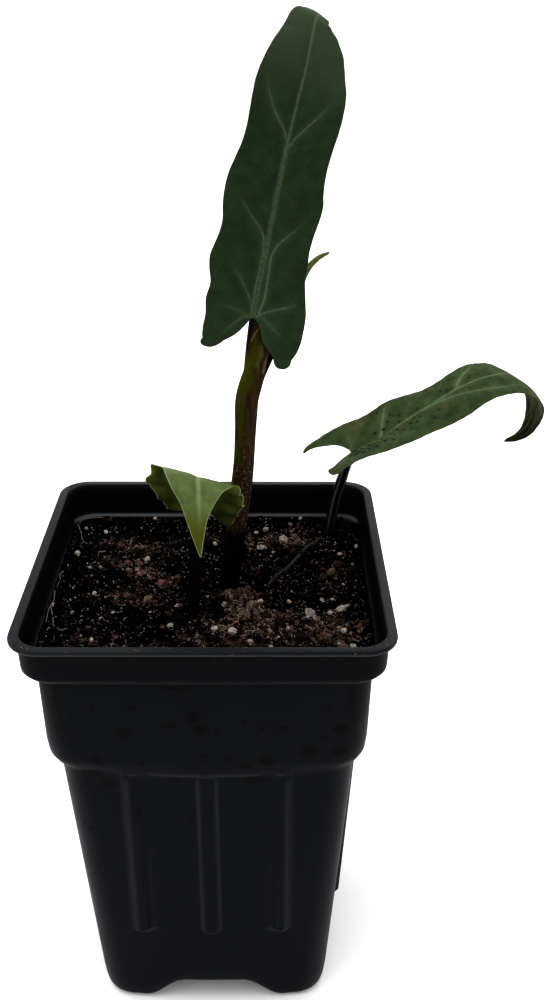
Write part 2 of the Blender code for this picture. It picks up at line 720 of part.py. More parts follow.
def make_tall_petiole(collection, cutters, material):
    """The tall leaf's petiole with its open sheath, which holds the foot of the new leaf."""
    petiole = make_stem(TALL_PETIOLE, collection, material)
    parts = bpy.data.collections.new("sheath_parts")
    bpy.context.scene.collection.children.link(parts)
    make_stem(SHEATH, parts)
    fuse(petiole, parts)
    cut(petiole, stem_hole(SPEAR, cutters))
    apply_modifiers(petiole)
    return petiole


def stem_hole(stem, collection, deeper=GAP):
    """A hole for a stem, a clearance wider than the stem and longer at both ends."""
    return tube(stem.name + "_hole", stem.route, stem.radii, stem.sides, collection, None, GAP, deeper)


def make_strand(collection, cutters, material):
    """The dry root strand that lies on the mix; returns the groove that it lies in."""
    route = [
        (x, y, soil_height(x, y) + 0.5 * radius)
        for (x, y), radius in zip(STRAND_ROUTE, STRAND_RADII)
    ]
    tube("dry_root_strand", route, STRAND_RADII, 8, collection, material)
    return tube("strand_groove", route, STRAND_RADII, 8, cutters, None, GAP, GAP)


def shade_round(obj):
    """Shade a round piece smooth, with its sharp edges kept."""
    obj.data.shade_smooth()
    obj.data.set_sharp_from_angle(angle=math.radians(40.0))


def main():
    """Clear the scene and build every piece."""
    for obj in list(bpy.data.objects):
        bpy.data.objects.remove(obj)
    plant = bpy.data.collections.new("potted_alocasia")
    cutters = bpy.data.collections.new("cutters")
    for collection in (plant, cutters):
        bpy.context.scene.collection.children.link(collection)

    plastic = new_material("moulded_polypropylene", (0.008, 0.009, 0.010), 0.42)
    mix = new_material("peat_and_bark_mix", (0.020, 0.012, 0.008), 0.95)
    tall_green = new_material("tall_leaf_green", (0.017, 0.028, 0.014), 0.45)
    mid_green = new_material("arching_leaf_green", (0.045, 0.080, 0.027), 0.45)
    fresh_green = new_material("young_leaf_green", (0.080, 0.140, 0.032), 0.45)
    dark_stem = new_material("mottled_dark_petiole", (0.030, 0.020, 0.013), 0.50)
    pale_olive = new_material("rolled_leaf_olive", (0.130, 0.140, 0.050), 0.50)
    dry_root = new_material("dry_root_grey", (0.060, 0.050, 0.040), 0.80)
    corm_brown = new_material("corm_brown", (0.090, 0.050, 0.025), 0.80)

    make_pot(plant, cutters, plastic)
    make_blade(TALL_LEAF, plant, tall_green)
    make_blade(ARCHING_LEAF, plant, mid_green)
    make_blade(YOUNG_LEAF, plant, fresh_green)
    make_tall_petiole(plant, cutters, dark_stem)
    make_stem(ARCHING_PETIOLE, plant, dark_stem)
    make_stem(YOUNG_PETIOLE, plant, dark_stem)
    make_stem(SPEAR, plant, pale_olive)
    make_corm("main_corm", MAIN_CORM, plant, corm_brown)
    make_corm("offset_corm", OFFSET_CORM, plant, corm_brown)

    petioles = (TALL_PETIOLE, ARCHING_PETIOLE, YOUNG_PETIOLE)
    hollows = [stem_hole(stem, cutters, CORM_REACH) for stem in petioles]
    hollows.append(make_corm("main_corm_hollow", MAIN_CORM, cutters, None, GAP))
    hollows.append(make_corm("offset_corm_hollow", OFFSET_CORM, cutters, None, GAP))
    hollows.append(make_strand(plant, cutters, dry_root))
    make_soil(plant, cutters, mix, hollows)
    for cutter in cutters.objects:
        cutter.hide_render = True
        cutter.display_type = "WIRE"
    for name in ("tall_leaf_petiole", "new_leaf_spear", "arching_leaf_petiole", "young_leaf_petiole"):
        shade_round(bpy.data.objects[name])


main()
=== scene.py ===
"""Potted arrow-leaved alocasia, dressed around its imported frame.

A deep square nursery pot holds a gritty potting mix and a young plant: a tall upright leaf with a
rolled new leaf in its sheath, an arching leaf and a small young leaf. Sizes are in millimetres
unless a comment says otherwise, +Z is up, and the pot's front looks along -Y.
"""
import logging
import math
import random
from dataclasses import dataclass
from enum import Enum
from functools import partial
from typing import Any, Callable, Mapping, Sequence

import bpy
import numpy as np
from mathutils import Matrix, Vector, noise


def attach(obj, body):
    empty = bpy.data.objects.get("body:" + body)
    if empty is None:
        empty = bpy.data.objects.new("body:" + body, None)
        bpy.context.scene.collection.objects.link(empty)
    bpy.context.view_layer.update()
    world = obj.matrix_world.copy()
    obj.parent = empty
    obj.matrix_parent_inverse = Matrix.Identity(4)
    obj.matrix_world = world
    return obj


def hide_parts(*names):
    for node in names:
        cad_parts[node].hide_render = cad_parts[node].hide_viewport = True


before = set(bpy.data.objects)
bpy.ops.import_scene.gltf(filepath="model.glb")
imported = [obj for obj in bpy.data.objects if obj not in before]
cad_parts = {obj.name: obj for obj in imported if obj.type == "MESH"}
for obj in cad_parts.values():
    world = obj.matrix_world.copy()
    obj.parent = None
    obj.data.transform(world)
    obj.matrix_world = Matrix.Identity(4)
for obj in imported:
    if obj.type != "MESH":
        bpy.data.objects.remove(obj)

LOG = logging.getLogger("potted_alocasia")
MM = 0.001
ROOT = "root"
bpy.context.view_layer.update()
# Points closer than this, in metres, are merged
SAME_PLACE = 2e-6
# A leaf's UV map is in decimetres, so a pattern of so many millimetres has this scale over its size
LEAF_SCALE = 100.0

Knots = tuple[tuple[float, float], ...]
Point = tuple[float, float, float]
Spots = tuple[Point, ...]
Shape = tuple[np.ndarray, np.ndarray]
Piece = bpy.types.Object
Node = bpy.types.Node
Socket = bpy.types.NodeSocket
AddNode = Callable[..., Node]


class Way(Enum):
    """The side of a blade, as the sign of its sideways direction."""

    RIGHT = 1
    LEFT = -1


def linear(hex_colour: str) -> tuple[float, float, float, float]:
    """Turn an sRGB hex colour to linear red, green, blue and an alpha of one.

    Args:
        hex_colour: Six hex digits, without a hash.

    Returns:
        The linear colour.
    """
    parts = [int(hex_colour[i : i + 2], 16) / 255.0 for i in (0, 2, 4)]
    red, green, blue = (
        part / 12.92 if part <= 0.04045 else ((part + 0.055) / 1.055) ** 2.4 for part in parts
    )
    return red, green, blue, 1.0


def cells(size: float) -> float:
    """A pattern's scale on Object coordinates, from the size of its cells in millimetres."""
    return 1.0 / (size * MM)


def add_node(tree: bpy.types.NodeTree, kind: str, settings: Mapping[Any, Any] | None = None) -> Node:
    """Add one node, with its settings and links.

    Args:
        tree: The material's node tree.
        kind: Blender's name of the node type, after "ShaderNode".
        settings: Properties and inputs by name or input number. An input takes a value, a hex
            colour, or the socket or node that feeds it; "stops" sets a ramp's hex colours.

    Returns:
        The new node.
    """
    node = tree.nodes.new("ShaderNode" + kind)
    for key, value in (settings or {}).items():
        if key == "stops":
            stops = node.color_ramp.elements
            while len(stops) < len(value):
                stops.new(0.5)
            for stop, (place, colour) in zip(stops, value):
                stop.position = place
                stop.color = linear(colour)
        elif isinstance(key, str) and hasattr(node, key):
            setattr(node, key, value)
        elif isinstance(value, Node):
            # A mix of colours gives its result at its third output
            result = 2 if getattr(value, "data_type", "") == "RGBA" else 0
            tree.links.new(value.outputs[result], node.inputs[key])
        elif isinstance(value, Socket):
            tree.links.new(value, node.inputs[key])
        else:
            node.inputs[key].default_value = linear(value) if isinstance(value, str) else value
    return node


def hermite(at: np.ndarray, knots: Sequence[float], values: Sequence[Any]) -> np.ndarray:
    """Read a smooth curve through values, given at knots, at the places in at.

    Args:
        at: Places to read.
        knots: Places of the values.
        values: Numbers or points, one for each knot.

    Returns:
        The values at the places.
    """
    knots = np.asarray(knots, float)
    values = np.asarray(values, float)
    slopes = np.gradient(values, knots, axis=0)
    i = np.clip(np.searchsorted(knots, at, side="right") - 1, 0, len(knots) - 2)
    span = knots[i + 1] - knots[i]
    t = np.clip((at - knots[i]) / span, 0.0, 1.0)
    if values.ndim == 2:
        span = span[..., None]
        t = t[..., None]
    return (
        (2 * t**3 - 3 * t**2 + 1) * values[i]
        + (t**3 - 2 * t**2 + t) * span * slopes[i]
        + (3 * t**2 - 2 * t**3) * values[i + 1]
        + (t**3 - t**2) * span * slopes[i + 1]
    )


def unit(vectors: np.ndarray) -> np.ndarray:
    """Scale each row to length one."""
    return vectors / np.maximum(np.linalg.norm(vectors, axis=-1, keepdims=True), 1e-12)


def smooth_step(value: np.ndarray, low: float, high: float) -> np.ndarray:
    """Rise smoothly from 0 at low to 1 at high."""
    t = np.clip((value - low) / (high - low), 0.0, 1.0)
    return t * t * (3.0 - 2.0 * t)


def bell(value: np.ndarray, width: float) -> np.ndarray:
    """A rounded bump of height one at zero that fades over the width."""
    return np.exp(-((value / width) ** 2))


def lengths_along(points: np.ndarray) -> np.ndarray:
    """How far along a line of points each of them lies."""
    return np.concatenate(([0.0], np.cumsum(np.linalg.norm(np.diff(points, axis=0), axis=1))))


def read_rows(at: np.ndarray, knots: np.ndarray, rows: np.ndarray) -> np.ndarray:
    """Read every column of a table at places between its knots, in straight steps."""
    return np.stack([np.interp(at, knots, column) for column in rows.T], axis=1)


def from_segment(
    x: np.ndarray, y: np.ndarray, first: Sequence[float], last: Sequence[float]
) -> tuple[np.ndarray, np.ndarray]:
    """Measure flat places against one straight segment.

    Args:
        x: Places across.
        y: Places along.
        first: The segment's start.
        last: Its end.

    Returns:
        The distance of each place from the segment, and its share of the way along.
    """
    step = np.subtract(last, first)
    t = np.clip(((x - first[0]) * step[0] + (y - first[1]) * step[1]) / (step @ step), 0.0, 1.0)
    return np.hypot(x - first[0] - t * step[0], y - first[1] - t * step[1]), t


def turned(x: np.ndarray, y: np.ndarray, spin: float) -> tuple[np.ndarray, np.ndarray]:
    """Turn flat places about the upright axis by an angle in radians."""
    return x * np.cos(spin) - y * np.sin(spin), x * np.sin(spin) + y * np.cos(spin)


def deselect_all() -> None:
    """Leave nothing selected, so that an operator acts on the next piece alone."""
    if bpy.context.object is not None and bpy.context.object.mode != "OBJECT":
        bpy.ops.object.mode_set(mode="OBJECT")
    bpy.ops.object.select_all(action="DESELECT")


def choose(*pieces: Piece) -> None:
    """Select these pieces alone, with the first as the active one."""
    deselect_all()
    for piece in pieces:
        piece.select_set(True)
    bpy.context.view_layer.objects.active = pieces[0]


def edit_all(obj: Piece, *steps: Callable[[], Any]) -> None:
    """Run edit-mode operators on the whole of one piece."""
    choose(obj)
    bpy.ops.object.mode_set(mode="EDIT")
    bpy.ops.mesh.select_all(action="SELECT")
    for step in steps:
        step()
    bpy.ops.object.mode_set(mode="OBJECT")


def merge_doubles() -> None:
    """Merge points that share a place, in edit mode."""
    bpy.ops.mesh.remove_doubles(threshold=SAME_PLACE)


def face_outwards() -> None:
    """Turn every face of a closed mesh outwards, in edit mode."""
    bpy.ops.mesh.normals_make_consistent(inside=False)


def split_to_triangles() -> None:
    """Split every face to triangles, in edit mode."""
    bpy.ops.mesh.quads_convert_to_tris()


def apply_modifiers(obj: Piece) -> None:
    """Apply every modifier of a piece in its order."""
    choose(obj)
    for modifier in list(obj.modifiers):
        bpy.ops.object.modifier_apply(modifier=modifier.name)


def add_modifier(obj: Piece, kind: str, **settings: Any) -> None:
    """Put one modifier with its settings on a piece."""
    modifier = obj.modifiers.new(kind.lower(), kind)
    for key, value in settings.items():
        setattr(modifier, key, value)


def points_of(obj: Piece) -> np.ndarray:
    """A piece's points as rows, in millimetres."""
    places = np.empty(len(obj.data.vertices) * 3)
    obj.data.vertices.foreach_get("co", places)
    return places.reshape(-1, 3) / MM


def set_points(obj: Piece, points: np.ndarray) -> None:
    """Move a piece's points to places given in millimetres."""
    obj.data.vertices.foreach_set("co", (points * MM).ravel())
    obj.data.update()


def store(obj: Piece, name: str, values: np.ndarray | float) -> None:
    """Keep one number for each point, for a material to read, over any kept before."""
    layers = obj.data.attributes
    layer = layers.get(name) or layers.new(name, "FLOAT", "POINT")
    full = np.broadcast_to(np.asarray(values, np.float32), len(obj.data.vertices))
    layer.data.foreach_set("value", np.ascontiguousarray(full))


def store_uv(obj: Piece, flat: np.ndarray) -> None:
    """Lay out a piece's UV map from one flat place in millimetres for each point."""
    mesh = obj.data
    corners = np.empty(len(mesh.loops), np.int32)
    mesh.loops.foreach_get("vertex_index", corners)
    layer = mesh.uv_layers.active or mesh.uv_layers.new(name="UVMap")
    layer.data.foreach_set("uv", (flat[corners] / LEAF_SCALE).ravel().astype(np.float32))


def rename(obj: Piece, name: str) -> Piece:
    """Give a piece and its mesh one name."""
    obj.name = name
    obj.data.name = name
    return obj


def shaped_grid(
    name: str, columns: int, rows: int, place: Callable[[np.ndarray, np.ndarray], np.ndarray]
) -> Piece:
    """Add a grid and set each of its points by a rule.

    Args:
        name: The piece's name.
        columns: Faces across.
        rows: Faces along.
        place: Gives the points in millimetres from shares of the way across and along.

    Returns:
        The grid, with its points still in rows.
    """
    deselect_all()
    bpy.ops.mesh.primitive_grid_add(x_subdivisions=columns, y_subdivisions=rows, size=1.0)
    grid = rename(bpy.context.object, name)
    flat = points_of(grid) * MM + 0.5
    across = np.round(flat[:, 0] * columns).astype(int) / columns
    along = np.round(flat[:, 1] * rows).astype(int) / rows
    set_points(grid, place(across, along))
    return grid


def join(name: str, *pieces: Piece) -> Piece:
    """Join pieces to one of this name."""
    choose(*pieces)
    bpy.ops.object.join()
    return rename(pieces[0], name)


def finish_piece(
    obj: Piece,
    materials: Sequence[bpy.types.Material],
    node: str,
    smooth_angle: float = 180.0,
) -> None:
    """Give a piece its finish, its body and the node that it stands for.

    Args:
        obj: The piece, in its place.
        materials: Its finishes, in the order of its material numbers.
        node: The CAD node that it replaces.
        smooth_angle: Edges sharper than this many degrees stay sharp.
    """
    numbers = np.empty(len(obj.data.polygons), np.int32)
    obj.data.polygons.foreach_get("material_index", numbers)
    obj.data.materials.clear()
    for material in materials:
        obj.data.materials.append(material)
    obj.data.polygons.foreach_set("material_index", np.minimum(numbers, len(materials) - 1))
    choose(obj)
    if smooth_angle >= 180.0:
        bpy.ops.object.shade_smooth()
    elif smooth_angle > 0.0:
        bpy.ops.object.shade_smooth_by_angle(angle=math.radians(smooth_angle))
    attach(obj, ROOT)
    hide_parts(node)
    LOG.info("%s: %d points", obj.name, len(obj.data.vertices))


# Finishes


def new_material(name: str) -> tuple[bpy.types.Material, AddNode]:
    """Make a material with an empty node tree.

    Args:
        name: The material's common name and how it was made.

    Returns:
        The material and the call that adds a node to it.
    """
    material = bpy.data.materials.new(name)
    material.use_nodes = True
    material.node_tree.nodes.clear()
    return material, partial(add_node, material.node_tree)


def close_surface(add: AddNode, settings: Mapping[str, Any]) -> None:
    """End a material in one Principled surface with these settings and links."""
    add("OutputMaterial", {"Surface": add("BsdfPrincipled", settings)})


@dataclass(frozen=True)
class MouldedPolypropylene:
    """Black polypropylene, injection moulded: a dull satin skin with a fine grain.

    It gives the eye an even near-black with soft highlights, painted highlight lines on its edges
    and rim, darker water marks on the front, painted shade inside and on the collar, and pale dust
    on what looks up.
    """

    colour: str = "0c0e11"
    worn_colour: str = "111316"
    # Colour of the water marks and of the painted shade inside and on the collar
    wet_colour: str = "060708"
    # Colour of the painted highlights on the rim and edges
    rubbed_colour: str = "343536"
    dust_colour: str = "6e6b66"
    roughness: float = 0.42
    wet_roughness: float = 0.55
    specular: float = 0.08
    # Moulded grain is about 0.25 mm, drawn at 0.4 mm so that it shows
    grain: float = 0.4
    # The front is what lies further forward than this
    front: float = -36.0
    # Water marks on the front: place across, height, half width, half height
    marks: tuple[tuple[float, float, float, float], ...] = (
        (-21.8, 110.7, 1.9, 1.5), (-18.8, 118.9, 1, 0.7), (-9.5, 113.3, 2.1, 0.9),
        (-2.9, 116.2, 1.9, 1.7), (-1.2, 111.9, 1.9, 1.7), (3.1, 111.3, 0.7, 0.7), (10.6, 114.1, 0.5, 0.6),
        (15.4, 112.6, 0.7, 0.6), (20.8, 112.4, 1.4, 0.8), (36.3, 111.8, 2.3, 1.5),
        (31.7, 109.3, 1.1, 0.6), (-7, 125.4, 3.4, 0.6), (27.5, 104.2, 2, 2.1), (35.7, 104, 2.2, 1.4),
        (16.4, 101.3, 2.1, 1.4), (10.7, 99.3, 1.9, 1.1), (5.6, 101.8, 0.6, 0.6), (0, 102.7, 1, 0.8),
        (-17.5, 100.4, 0.8, 0.7), (-29.4, 101.1, 1.4, 1.5), (13.1, 93.4, 3, 1.2), (-31.3, 95.2, 2.8, 1.5),
        (-27, 91.5, 1.9, 1.4), (-8.8, 93.8, 1.7, 0.9), (-19.2, 81.8, 0.7, 1.2), (-4.5, 78.9, 0.6, 1),
        (-14.3, 66, 0.8, 0.4), (3, 61.1, 0.5, 0.6), (33, 119, 0.6, 0.6), (-29, 119, 0.7, 0.6),
        (-35.2, 74.4, 0.5, 0.5), (-33.4, 73.2, 0.6, 0.4), (-32.6, 60.6, 0.4, 0.6),
        (-32.2, 57.4, 0.4, 0.5),
    )
    # The marks' edges are pushed about by this much across and up, which centres them again
    ragged: tuple[float, float] = (2.4, 2.0)

    def water_marks(self, add: AddNode, place: Socket) -> Node:
        """Draw the water marks as ragged blots in the pot's own millimetres.

        Args:
            add: Adds a node to the material.
            place: Object coordinates.

        Returns:
            How wet the front is, from 0 to 1.
        """
        wide_push, tall_push = self.ragged
        noisy = add("TexNoise", {"Scale": cells(1.4), "Detail": 2.0, "Vector": place}).outputs["Color"]
        push = (wide_push * MM, 0.0, tall_push * MM)
        pushed = add("VectorMath", {"operation": "MULTIPLY_ADD", 0: noisy, 1: push, 2: place})
        nearest = None
        for across, height, wide, tall in self.marks:
            shift = (-(across + 0.5 * wide_push) / wide, 0.0, -(height + 0.5 * tall_push) / tall)
            scale = (cells(wide), 0.0, cells(tall))
            local = add("VectorMath", {"operation": "MULTIPLY_ADD", 0: pushed, 1: scale, 2: shift})
            away = add("VectorMath", {"operation": "LENGTH", 0: local}).outputs["Value"]
            if nearest is not None:
                away = add("Math", {"operation": "MINIMUM", 0: nearest, 1: away})
            nearest = away
        blot = add("MapRange", {0: nearest, 1: 1.35, 2: 0.8, 4: 0.85})
        depth = add("SeparateXYZ", {0: place}).outputs["Y"]
        front = add("Math", {"operation": "LESS_THAN", 0: depth, 1: self.front * MM})
        return add("Math", {"operation": "MULTIPLY", 0: blot, 1: front})

    def make(self) -> bpy.types.Material:
        """Build the material."""
        material, add = new_material("black_polypropylene_moulded")
        place = add("TexCoord").outputs["Object"]
        grain, cloud, patches = (
            add("TexNoise", {"Scale": cells(size), "Detail": detail, "Vector": place})
            for size, detail in ((self.grain, 2.0), (16.0, 4.0), (7.0, 3.0))
        )
        darkening, rubbed, dusty = (
            add("Attribute", {"attribute_name": key}).outputs["Fac"] for key in ("wet", "rubbed", "dust")
        )
        # Water marks and painted shade darken the colour alike
        wet = add("Math", {"operation": "MAXIMUM", 0: darkening, 1: self.water_marks(add, place)})
        flecks = add("TexVoronoi", {"Scale": cells(1.1), "Vector": place})
        fleck = add("MapRange", {0: flecks, 1: 0.24, 2: 0.08})
        chosen = add("MapRange", {0: patches, 1: 0.52, 2: 0.66})
        kept = add("Math", {"operation": "MULTIPLY", 0: fleck, 1: chosen})
        dust = add("Math", {"operation": "MULTIPLY", 0: kept, 1: dusty})
        colour = self.colour
        # A painted highlight share above one draws a line brighter than the highlight colour, so it isn't
        # clamped
        for share, tint, clamped in (
            (cloud, self.worn_colour, True),
            (wet, self.wet_colour, True),
            (rubbed, self.rubbed_colour, False),
            (dust, self.dust_colour, True),
        ):
            colour = add(
                "Mix", {"data_type": "RGBA", "clamp_factor": clamped, 0: share, 6: colour, 7: tint}
            )
        rough = add("MapRange", {0: cloud, 3: self.roughness - 0.06, 4: self.roughness + 0.08})
        sheen = add("Mix", {0: wet, 2: rough, 3: self.wet_roughness})
        bump = add("Bump", {"Strength": 0.12, "Distance": 0.05 * MM, "Height": grain})
        close_surface(add, {
            "Base Color": colour, "Roughness": sheen, "IOR": 1.49, "Metallic": 0.0,
            "Specular IOR Level": self.specular, "Normal": bump,
        })
        return material


@dataclass(frozen=True)
class MoistPeat:
    """Moist peat and coir, blended: nearly black hollows and rusty brown fibrous lumps."""

    hollow: str = "020201"
    lump: str = "1c100d"
    rust: str = "452a22"
    # Peat crumbs are 0.5 to 2 mm across
    crumb: float = 1.3

    def make(self) -> bpy.types.Material:
        """Build the material."""
        material, add = new_material("moist_peat_blended")
        place = add("TexCoord").outputs["Object"]
        crumbs = add(
            "TexNoise", {"Scale": cells(self.crumb), "Detail": 6.0, "Roughness": 0.7, "Vector": place}
        )
        rich = add("Attribute", {"attribute_name": "rich"}).outputs["Fac"]
        weight = add("MapRange", {0: crumbs, 1: 0.46, 2: 0.74})
        amount = add("Math", {"operation": "MULTIPLY", 0: weight, 1: rich})
        stops = ((0.0, self.hollow), (0.45, self.lump), (1.0, self.rust))
        bump = add("Bump", {"Strength": 0.9, "Distance": 0.5 * MM, "Height": crumbs})
        close_surface(add, {
            "Base Color": add("ValToRGB", {"stops": stops, 0: amount}), "Roughness": 0.95,
            "Specular IOR Level": 0.02, "Normal": bump,
        })
        return material


@dataclass(frozen=True)
class LooseGrain:
    """Loose grains of the mix, broken or torn: each grain has a tone of its own."""

    name: str
    dark: str
    middle: str
    light: str
    # Size of the pits or fibres on a grain
    pitting: float
    bump: float = 0.5

    def make(self) -> bpy.types.Material:
        """Build the material."""
        material, add = new_material(self.name)
        place = add("TexCoord").outputs["Object"]
        tone = add("Attribute", {"attribute_name": "tone"}).outputs["Fac"]
        pits = add("TexNoise", {"Scale": cells(self.pitting), "Detail": 4.0, "Vector": place})
        stained = add("Math", {"operation": "MULTIPLY_ADD", 0: pits, 1: 0.7, 2: -0.35})
        shade = add("Math", {"operation": "ADD", "use_clamp": True, 0: stained, 1: tone})
        stops = ((0.0, self.dark), (0.5, self.middle), (1.0, self.light))
        bump = add("Bump", {"Strength": self.bump, "Distance": 0.2 * MM, "Height": pits})
        close_surface(add, {
            "Base Color": add("ValToRGB", {"stops": stops, 0: shade}), "Roughness": 0.9,
            "Specular IOR Level": 0.05, "Normal": bump,
        })
        return material


@dataclass(frozen=True)
class LeafSkin:
    """The waxy upper skin of a living leaf, grown: deep green with pale veins and a faint net."""

    name: str
    shade: str
    green: str
    vein: str
    edge: str
    tip: str
    tinge: str
    speck: str = "121708"
    tinge_share: float = 0.4
    vein_share: float = 0.6
    halo: float = 0.18
    edge_width: float = 0.25
    edge_share: float = 0.5
    specks: float = 0.0
    roughness: float = 0.5
    specular: float = 0.18
    # The finest veins close cells of about 1.3 mm
    net: float = 1.3
    net_share: float = 0.02
    # Freckles of about 0.8 mm, and how strongly they show dark
    freckle: float = 0.8
    freckles: float = 0.0
    # The skin's own cells are about 0.1 mm, drawn at 0.35 mm so that they show
    cell: float = 0.35

    def make(self) -> bpy.types.Material:
        """Build the material."""
        material, add = new_material(self.name)
        flat = add("TexCoord").outputs["UV"]
        # The mottling is about 4 mm across, the tinged patches about 11 mm
        mottle, patch, freckle = (
            add("TexNoise", {"Scale": scale, "Detail": detail, "Roughness": rough, "Vector": flat})
            for scale, detail, rough in (
                (24.0, 8.0, 0.62), (9.0, 6.0, 0.6), (LEAF_SCALE / self.freckle, 3.0, 0.7)
            )
        )
        mottled = add("MapRange", {0: mottle, 1: 0.32, 2: 0.68})
        colour = add("Mix", {"data_type": "RGBA", 0: mottled, 6: self.shade, 7: self.green})
        gaps = {
            key: add("Attribute", {"attribute_name": key}).outputs["Fac"]
            for key in ("vein", "halo", "edge_gap", "tip_share", "speck")
        }
        net = add(
            "TexVoronoi", {"feature": "DISTANCE_TO_EDGE", "Scale": LEAF_SCALE / self.net, "Vector": flat}
        )
        uneven = add("MapRange", {0: freckle, 1: 0.35, 2: 0.6, 3: 0.45, 4: 1.15})
        for key in ("vein", "speck"):
            gaps[key] = add("Math", {"operation": "MULTIPLY", 0: gaps[key], 1: uneven})
        for mark, low, high, start, end, tint in (
            (freckle, 0.58, 0.72, 0.0, self.freckles, self.shade),
            (patch, 0.5, 0.68, 0.0, self.tinge_share, self.tinge),
            (gaps["tip_share"], 0.0, 1.0, 0.0, 1.0, self.tip),
            (net, 0.0, 0.12, self.net_share, 0.0, self.vein),
            (gaps["halo"], 0.0, 1.0, 0.0, self.halo, self.vein),
            (gaps["vein"], 0.0, 1.0, 0.0, self.vein_share, self.vein),
            (gaps["edge_gap"], 0.4 * self.edge_width, self.edge_width, self.edge_share, 0.0, self.edge),
            (gaps["speck"], 0.1, 0.7, 0.0, self.specks, self.speck),
        ):
            share = add(
                "MapRange",
                {"interpolation_type": "SMOOTHSTEP", 0: mark, 1: low, 2: high, 3: start, 4: end},
            )
            colour = add("Mix", {"data_type": "RGBA", 0: share, 6: colour, 7: tint})
        rough = add("MapRange", {0: mottle, 3: self.roughness - 0.05, 4: self.roughness + 0.08})
        cell = add("TexNoise", {"Scale": LEAF_SCALE / self.cell, "Detail": 2.0, "Vector": flat})
        skin = add("Bump", {"Strength": 0.1, "Distance": 0.05 * MM, "Height": cell})
        bump = add("Bump", {"Strength": 0.1, "Distance": 0.12 * MM, "Height": net, "Normal": skin})
        close_surface(add, {
            "Base Color": colour, "Roughness": rough, "IOR": 1.42, "Specular IOR Level": self.specular,
            "Normal": bump,
        })
        return material


@dataclass(frozen=True)
class LeafBack:
    """The matt under skin of a living leaf, grown: duller, with raised veins."""

    name: str
    shade: str
    green: str
    vein: str
    vein_share: float = 0.6
    rim: str = "8a9670"
    rim_share: float = 0.0
    # How many times finer its streaks are across than the mottling of a plain one
    streaks: float = 1.5
    tip: str = "33380f"
    tip_share: float = 0.0
    roughness: float = 0.6
    specular: float = 0.12
    # The finest veins close cells of about 2.1 mm
    net: float = 2.1

    def make(self) -> bpy.types.Material:
        """Build the material."""
        material, add = new_material(self.name)
        flat = add("TexCoord").outputs["UV"]
        drawn = add("Mapping", {"Scale": (self.streaks, 0.6, 1.0), "Vector": flat})
        streaks = add("TexNoise", {"Scale": 18.0, "Detail": 5.0, "Vector": drawn})
        end, vein, gap = (
            add("Attribute", {"attribute_name": key}).outputs["Fac"]
            for key in ("tip_share", "vein", "edge_gap")
        )
        colour = self.shade
        for ranged, tint in (
            ({0: streaks, 1: 0.35, 2: 0.65}, self.green),
            ({0: end, 4: self.tip_share}, self.tip),
            ({"interpolation_type": "SMOOTHSTEP", 0: vein, 4: self.vein_share}, self.vein),
            ({0: gap, 1: 0.15, 2: 0.35, 3: self.rim_share, 4: 0.0}, self.rim),
        ):
            share = add("MapRange", ranged)
            colour = add("Mix", {"data_type": "RGBA", 0: share, 6: colour, 7: tint})
        net = add(
            "TexVoronoi", {"feature": "DISTANCE_TO_EDGE", "Scale": LEAF_SCALE / self.net, "Vector": flat}
        )
        bump = add("Bump", {"invert": True, "Strength": 0.3, "Distance": 0.15 * MM, "Height": net})
        close_surface(add, {
            "Base Color": colour, "Roughness": self.roughness, "IOR": 1.42,
            "Specular IOR Level": self.specular, "Normal": bump,
        })
        return material


@dataclass(frozen=True)
class StalkSkin:
    """The smooth skin of a leaf stalk, grown: near-black brown, with short pinkish flecks."""

    name: str
    dark: str
    brown: str
    fleck: str
    olive: str = "343700"
    pale: str = "7c7a5a"
    black: str = "040303"
    roughness: float = 0.6
    specular: float = 0.06
    fleck_share: float = 0.65

    def make(self) -> bpy.types.Material:
        """Build the material."""
        material, add = new_material(self.name)
        place = add("TexCoord").outputs["Object"]
        # Streaks of about 1.1 mm across are drawn out along the stalk
        drawn = add("Mapping", {"Scale": (1.0, 1.0, 0.16), "Vector": place})
        streaks = add("TexNoise", {"Scale": cells(1.1), "Detail": 4.0, "Vector": drawn})
        grains = add(
            "TexNoise", {"Scale": cells(0.75), "Detail": 3.0, "Roughness": 0.75, "Vector": place}
        )
        colour = add("Mix", {"data_type": "RGBA", 0: streaks, 6: self.dark, 7: self.brown})
        shares = {
            key: add("Attribute", {"attribute_name": key}).outputs["Fac"]
            for key in ("brown", "fleck", "black", "olive", "pale")
        }
        for key, pattern, low, high, start, end in (
            ("brown", streaks, 0.38, 0.62, 0.1, 1.0),
            ("fleck", grains, 0.52, 0.66, 0.0, self.fleck_share),
            ("olive", streaks, 0.4, 0.6, 1.0, 0.6),
        ):
            uneven = add("MapRange", {0: pattern, 1: low, 2: high, 3: start, 4: end})
            shares[key] = add("Math", {"operation": "MULTIPLY", 0: uneven, 1: shares[key]})
        for key, share in shares.items():
            colour = add("Mix", {"data_type": "RGBA", 0: share, 6: colour, 7: getattr(self, key)})
        bump = add("Bump", {"Strength": 0.25, "Distance": 0.08 * MM, "Height": streaks})
        close_surface(add, {
            "Base Color": colour, "Roughness": self.roughness, "IOR": 1.42,
            "Specular IOR Level": self.specular, "Normal": bump,
        })
        return material


# Leaves


@dataclass(frozen=True)
class Vein:
    """A side vein: its course as places along and out from the midrib, its strength and width."""

    course: Knots
    strength: float = 1.0
    width: float = 0.3


@dataclass(frozen=True)
class HalfBlade:
    """One half of a blade; each curve pairs a place along the midrib with a distance or angle."""

    sinus: Knots
    margin: Knots
    fold: Knots
    veins: tuple[Vein, ...]
    lobe_rounding: float = 1.8


@dataclass
class Spine:
    """The midrib of a blade: places along it, its points and the directions there."""

    places: np.ndarray
    points: np.ndarray
    sideways: np.ndarray
    facing: np.ndarray

    def read(self, track: np.ndarray, at: np.ndarray) -> np.ndarray:
        """Read one track of points or directions at places along the midrib."""
        return read_rows(at, self.places, track)


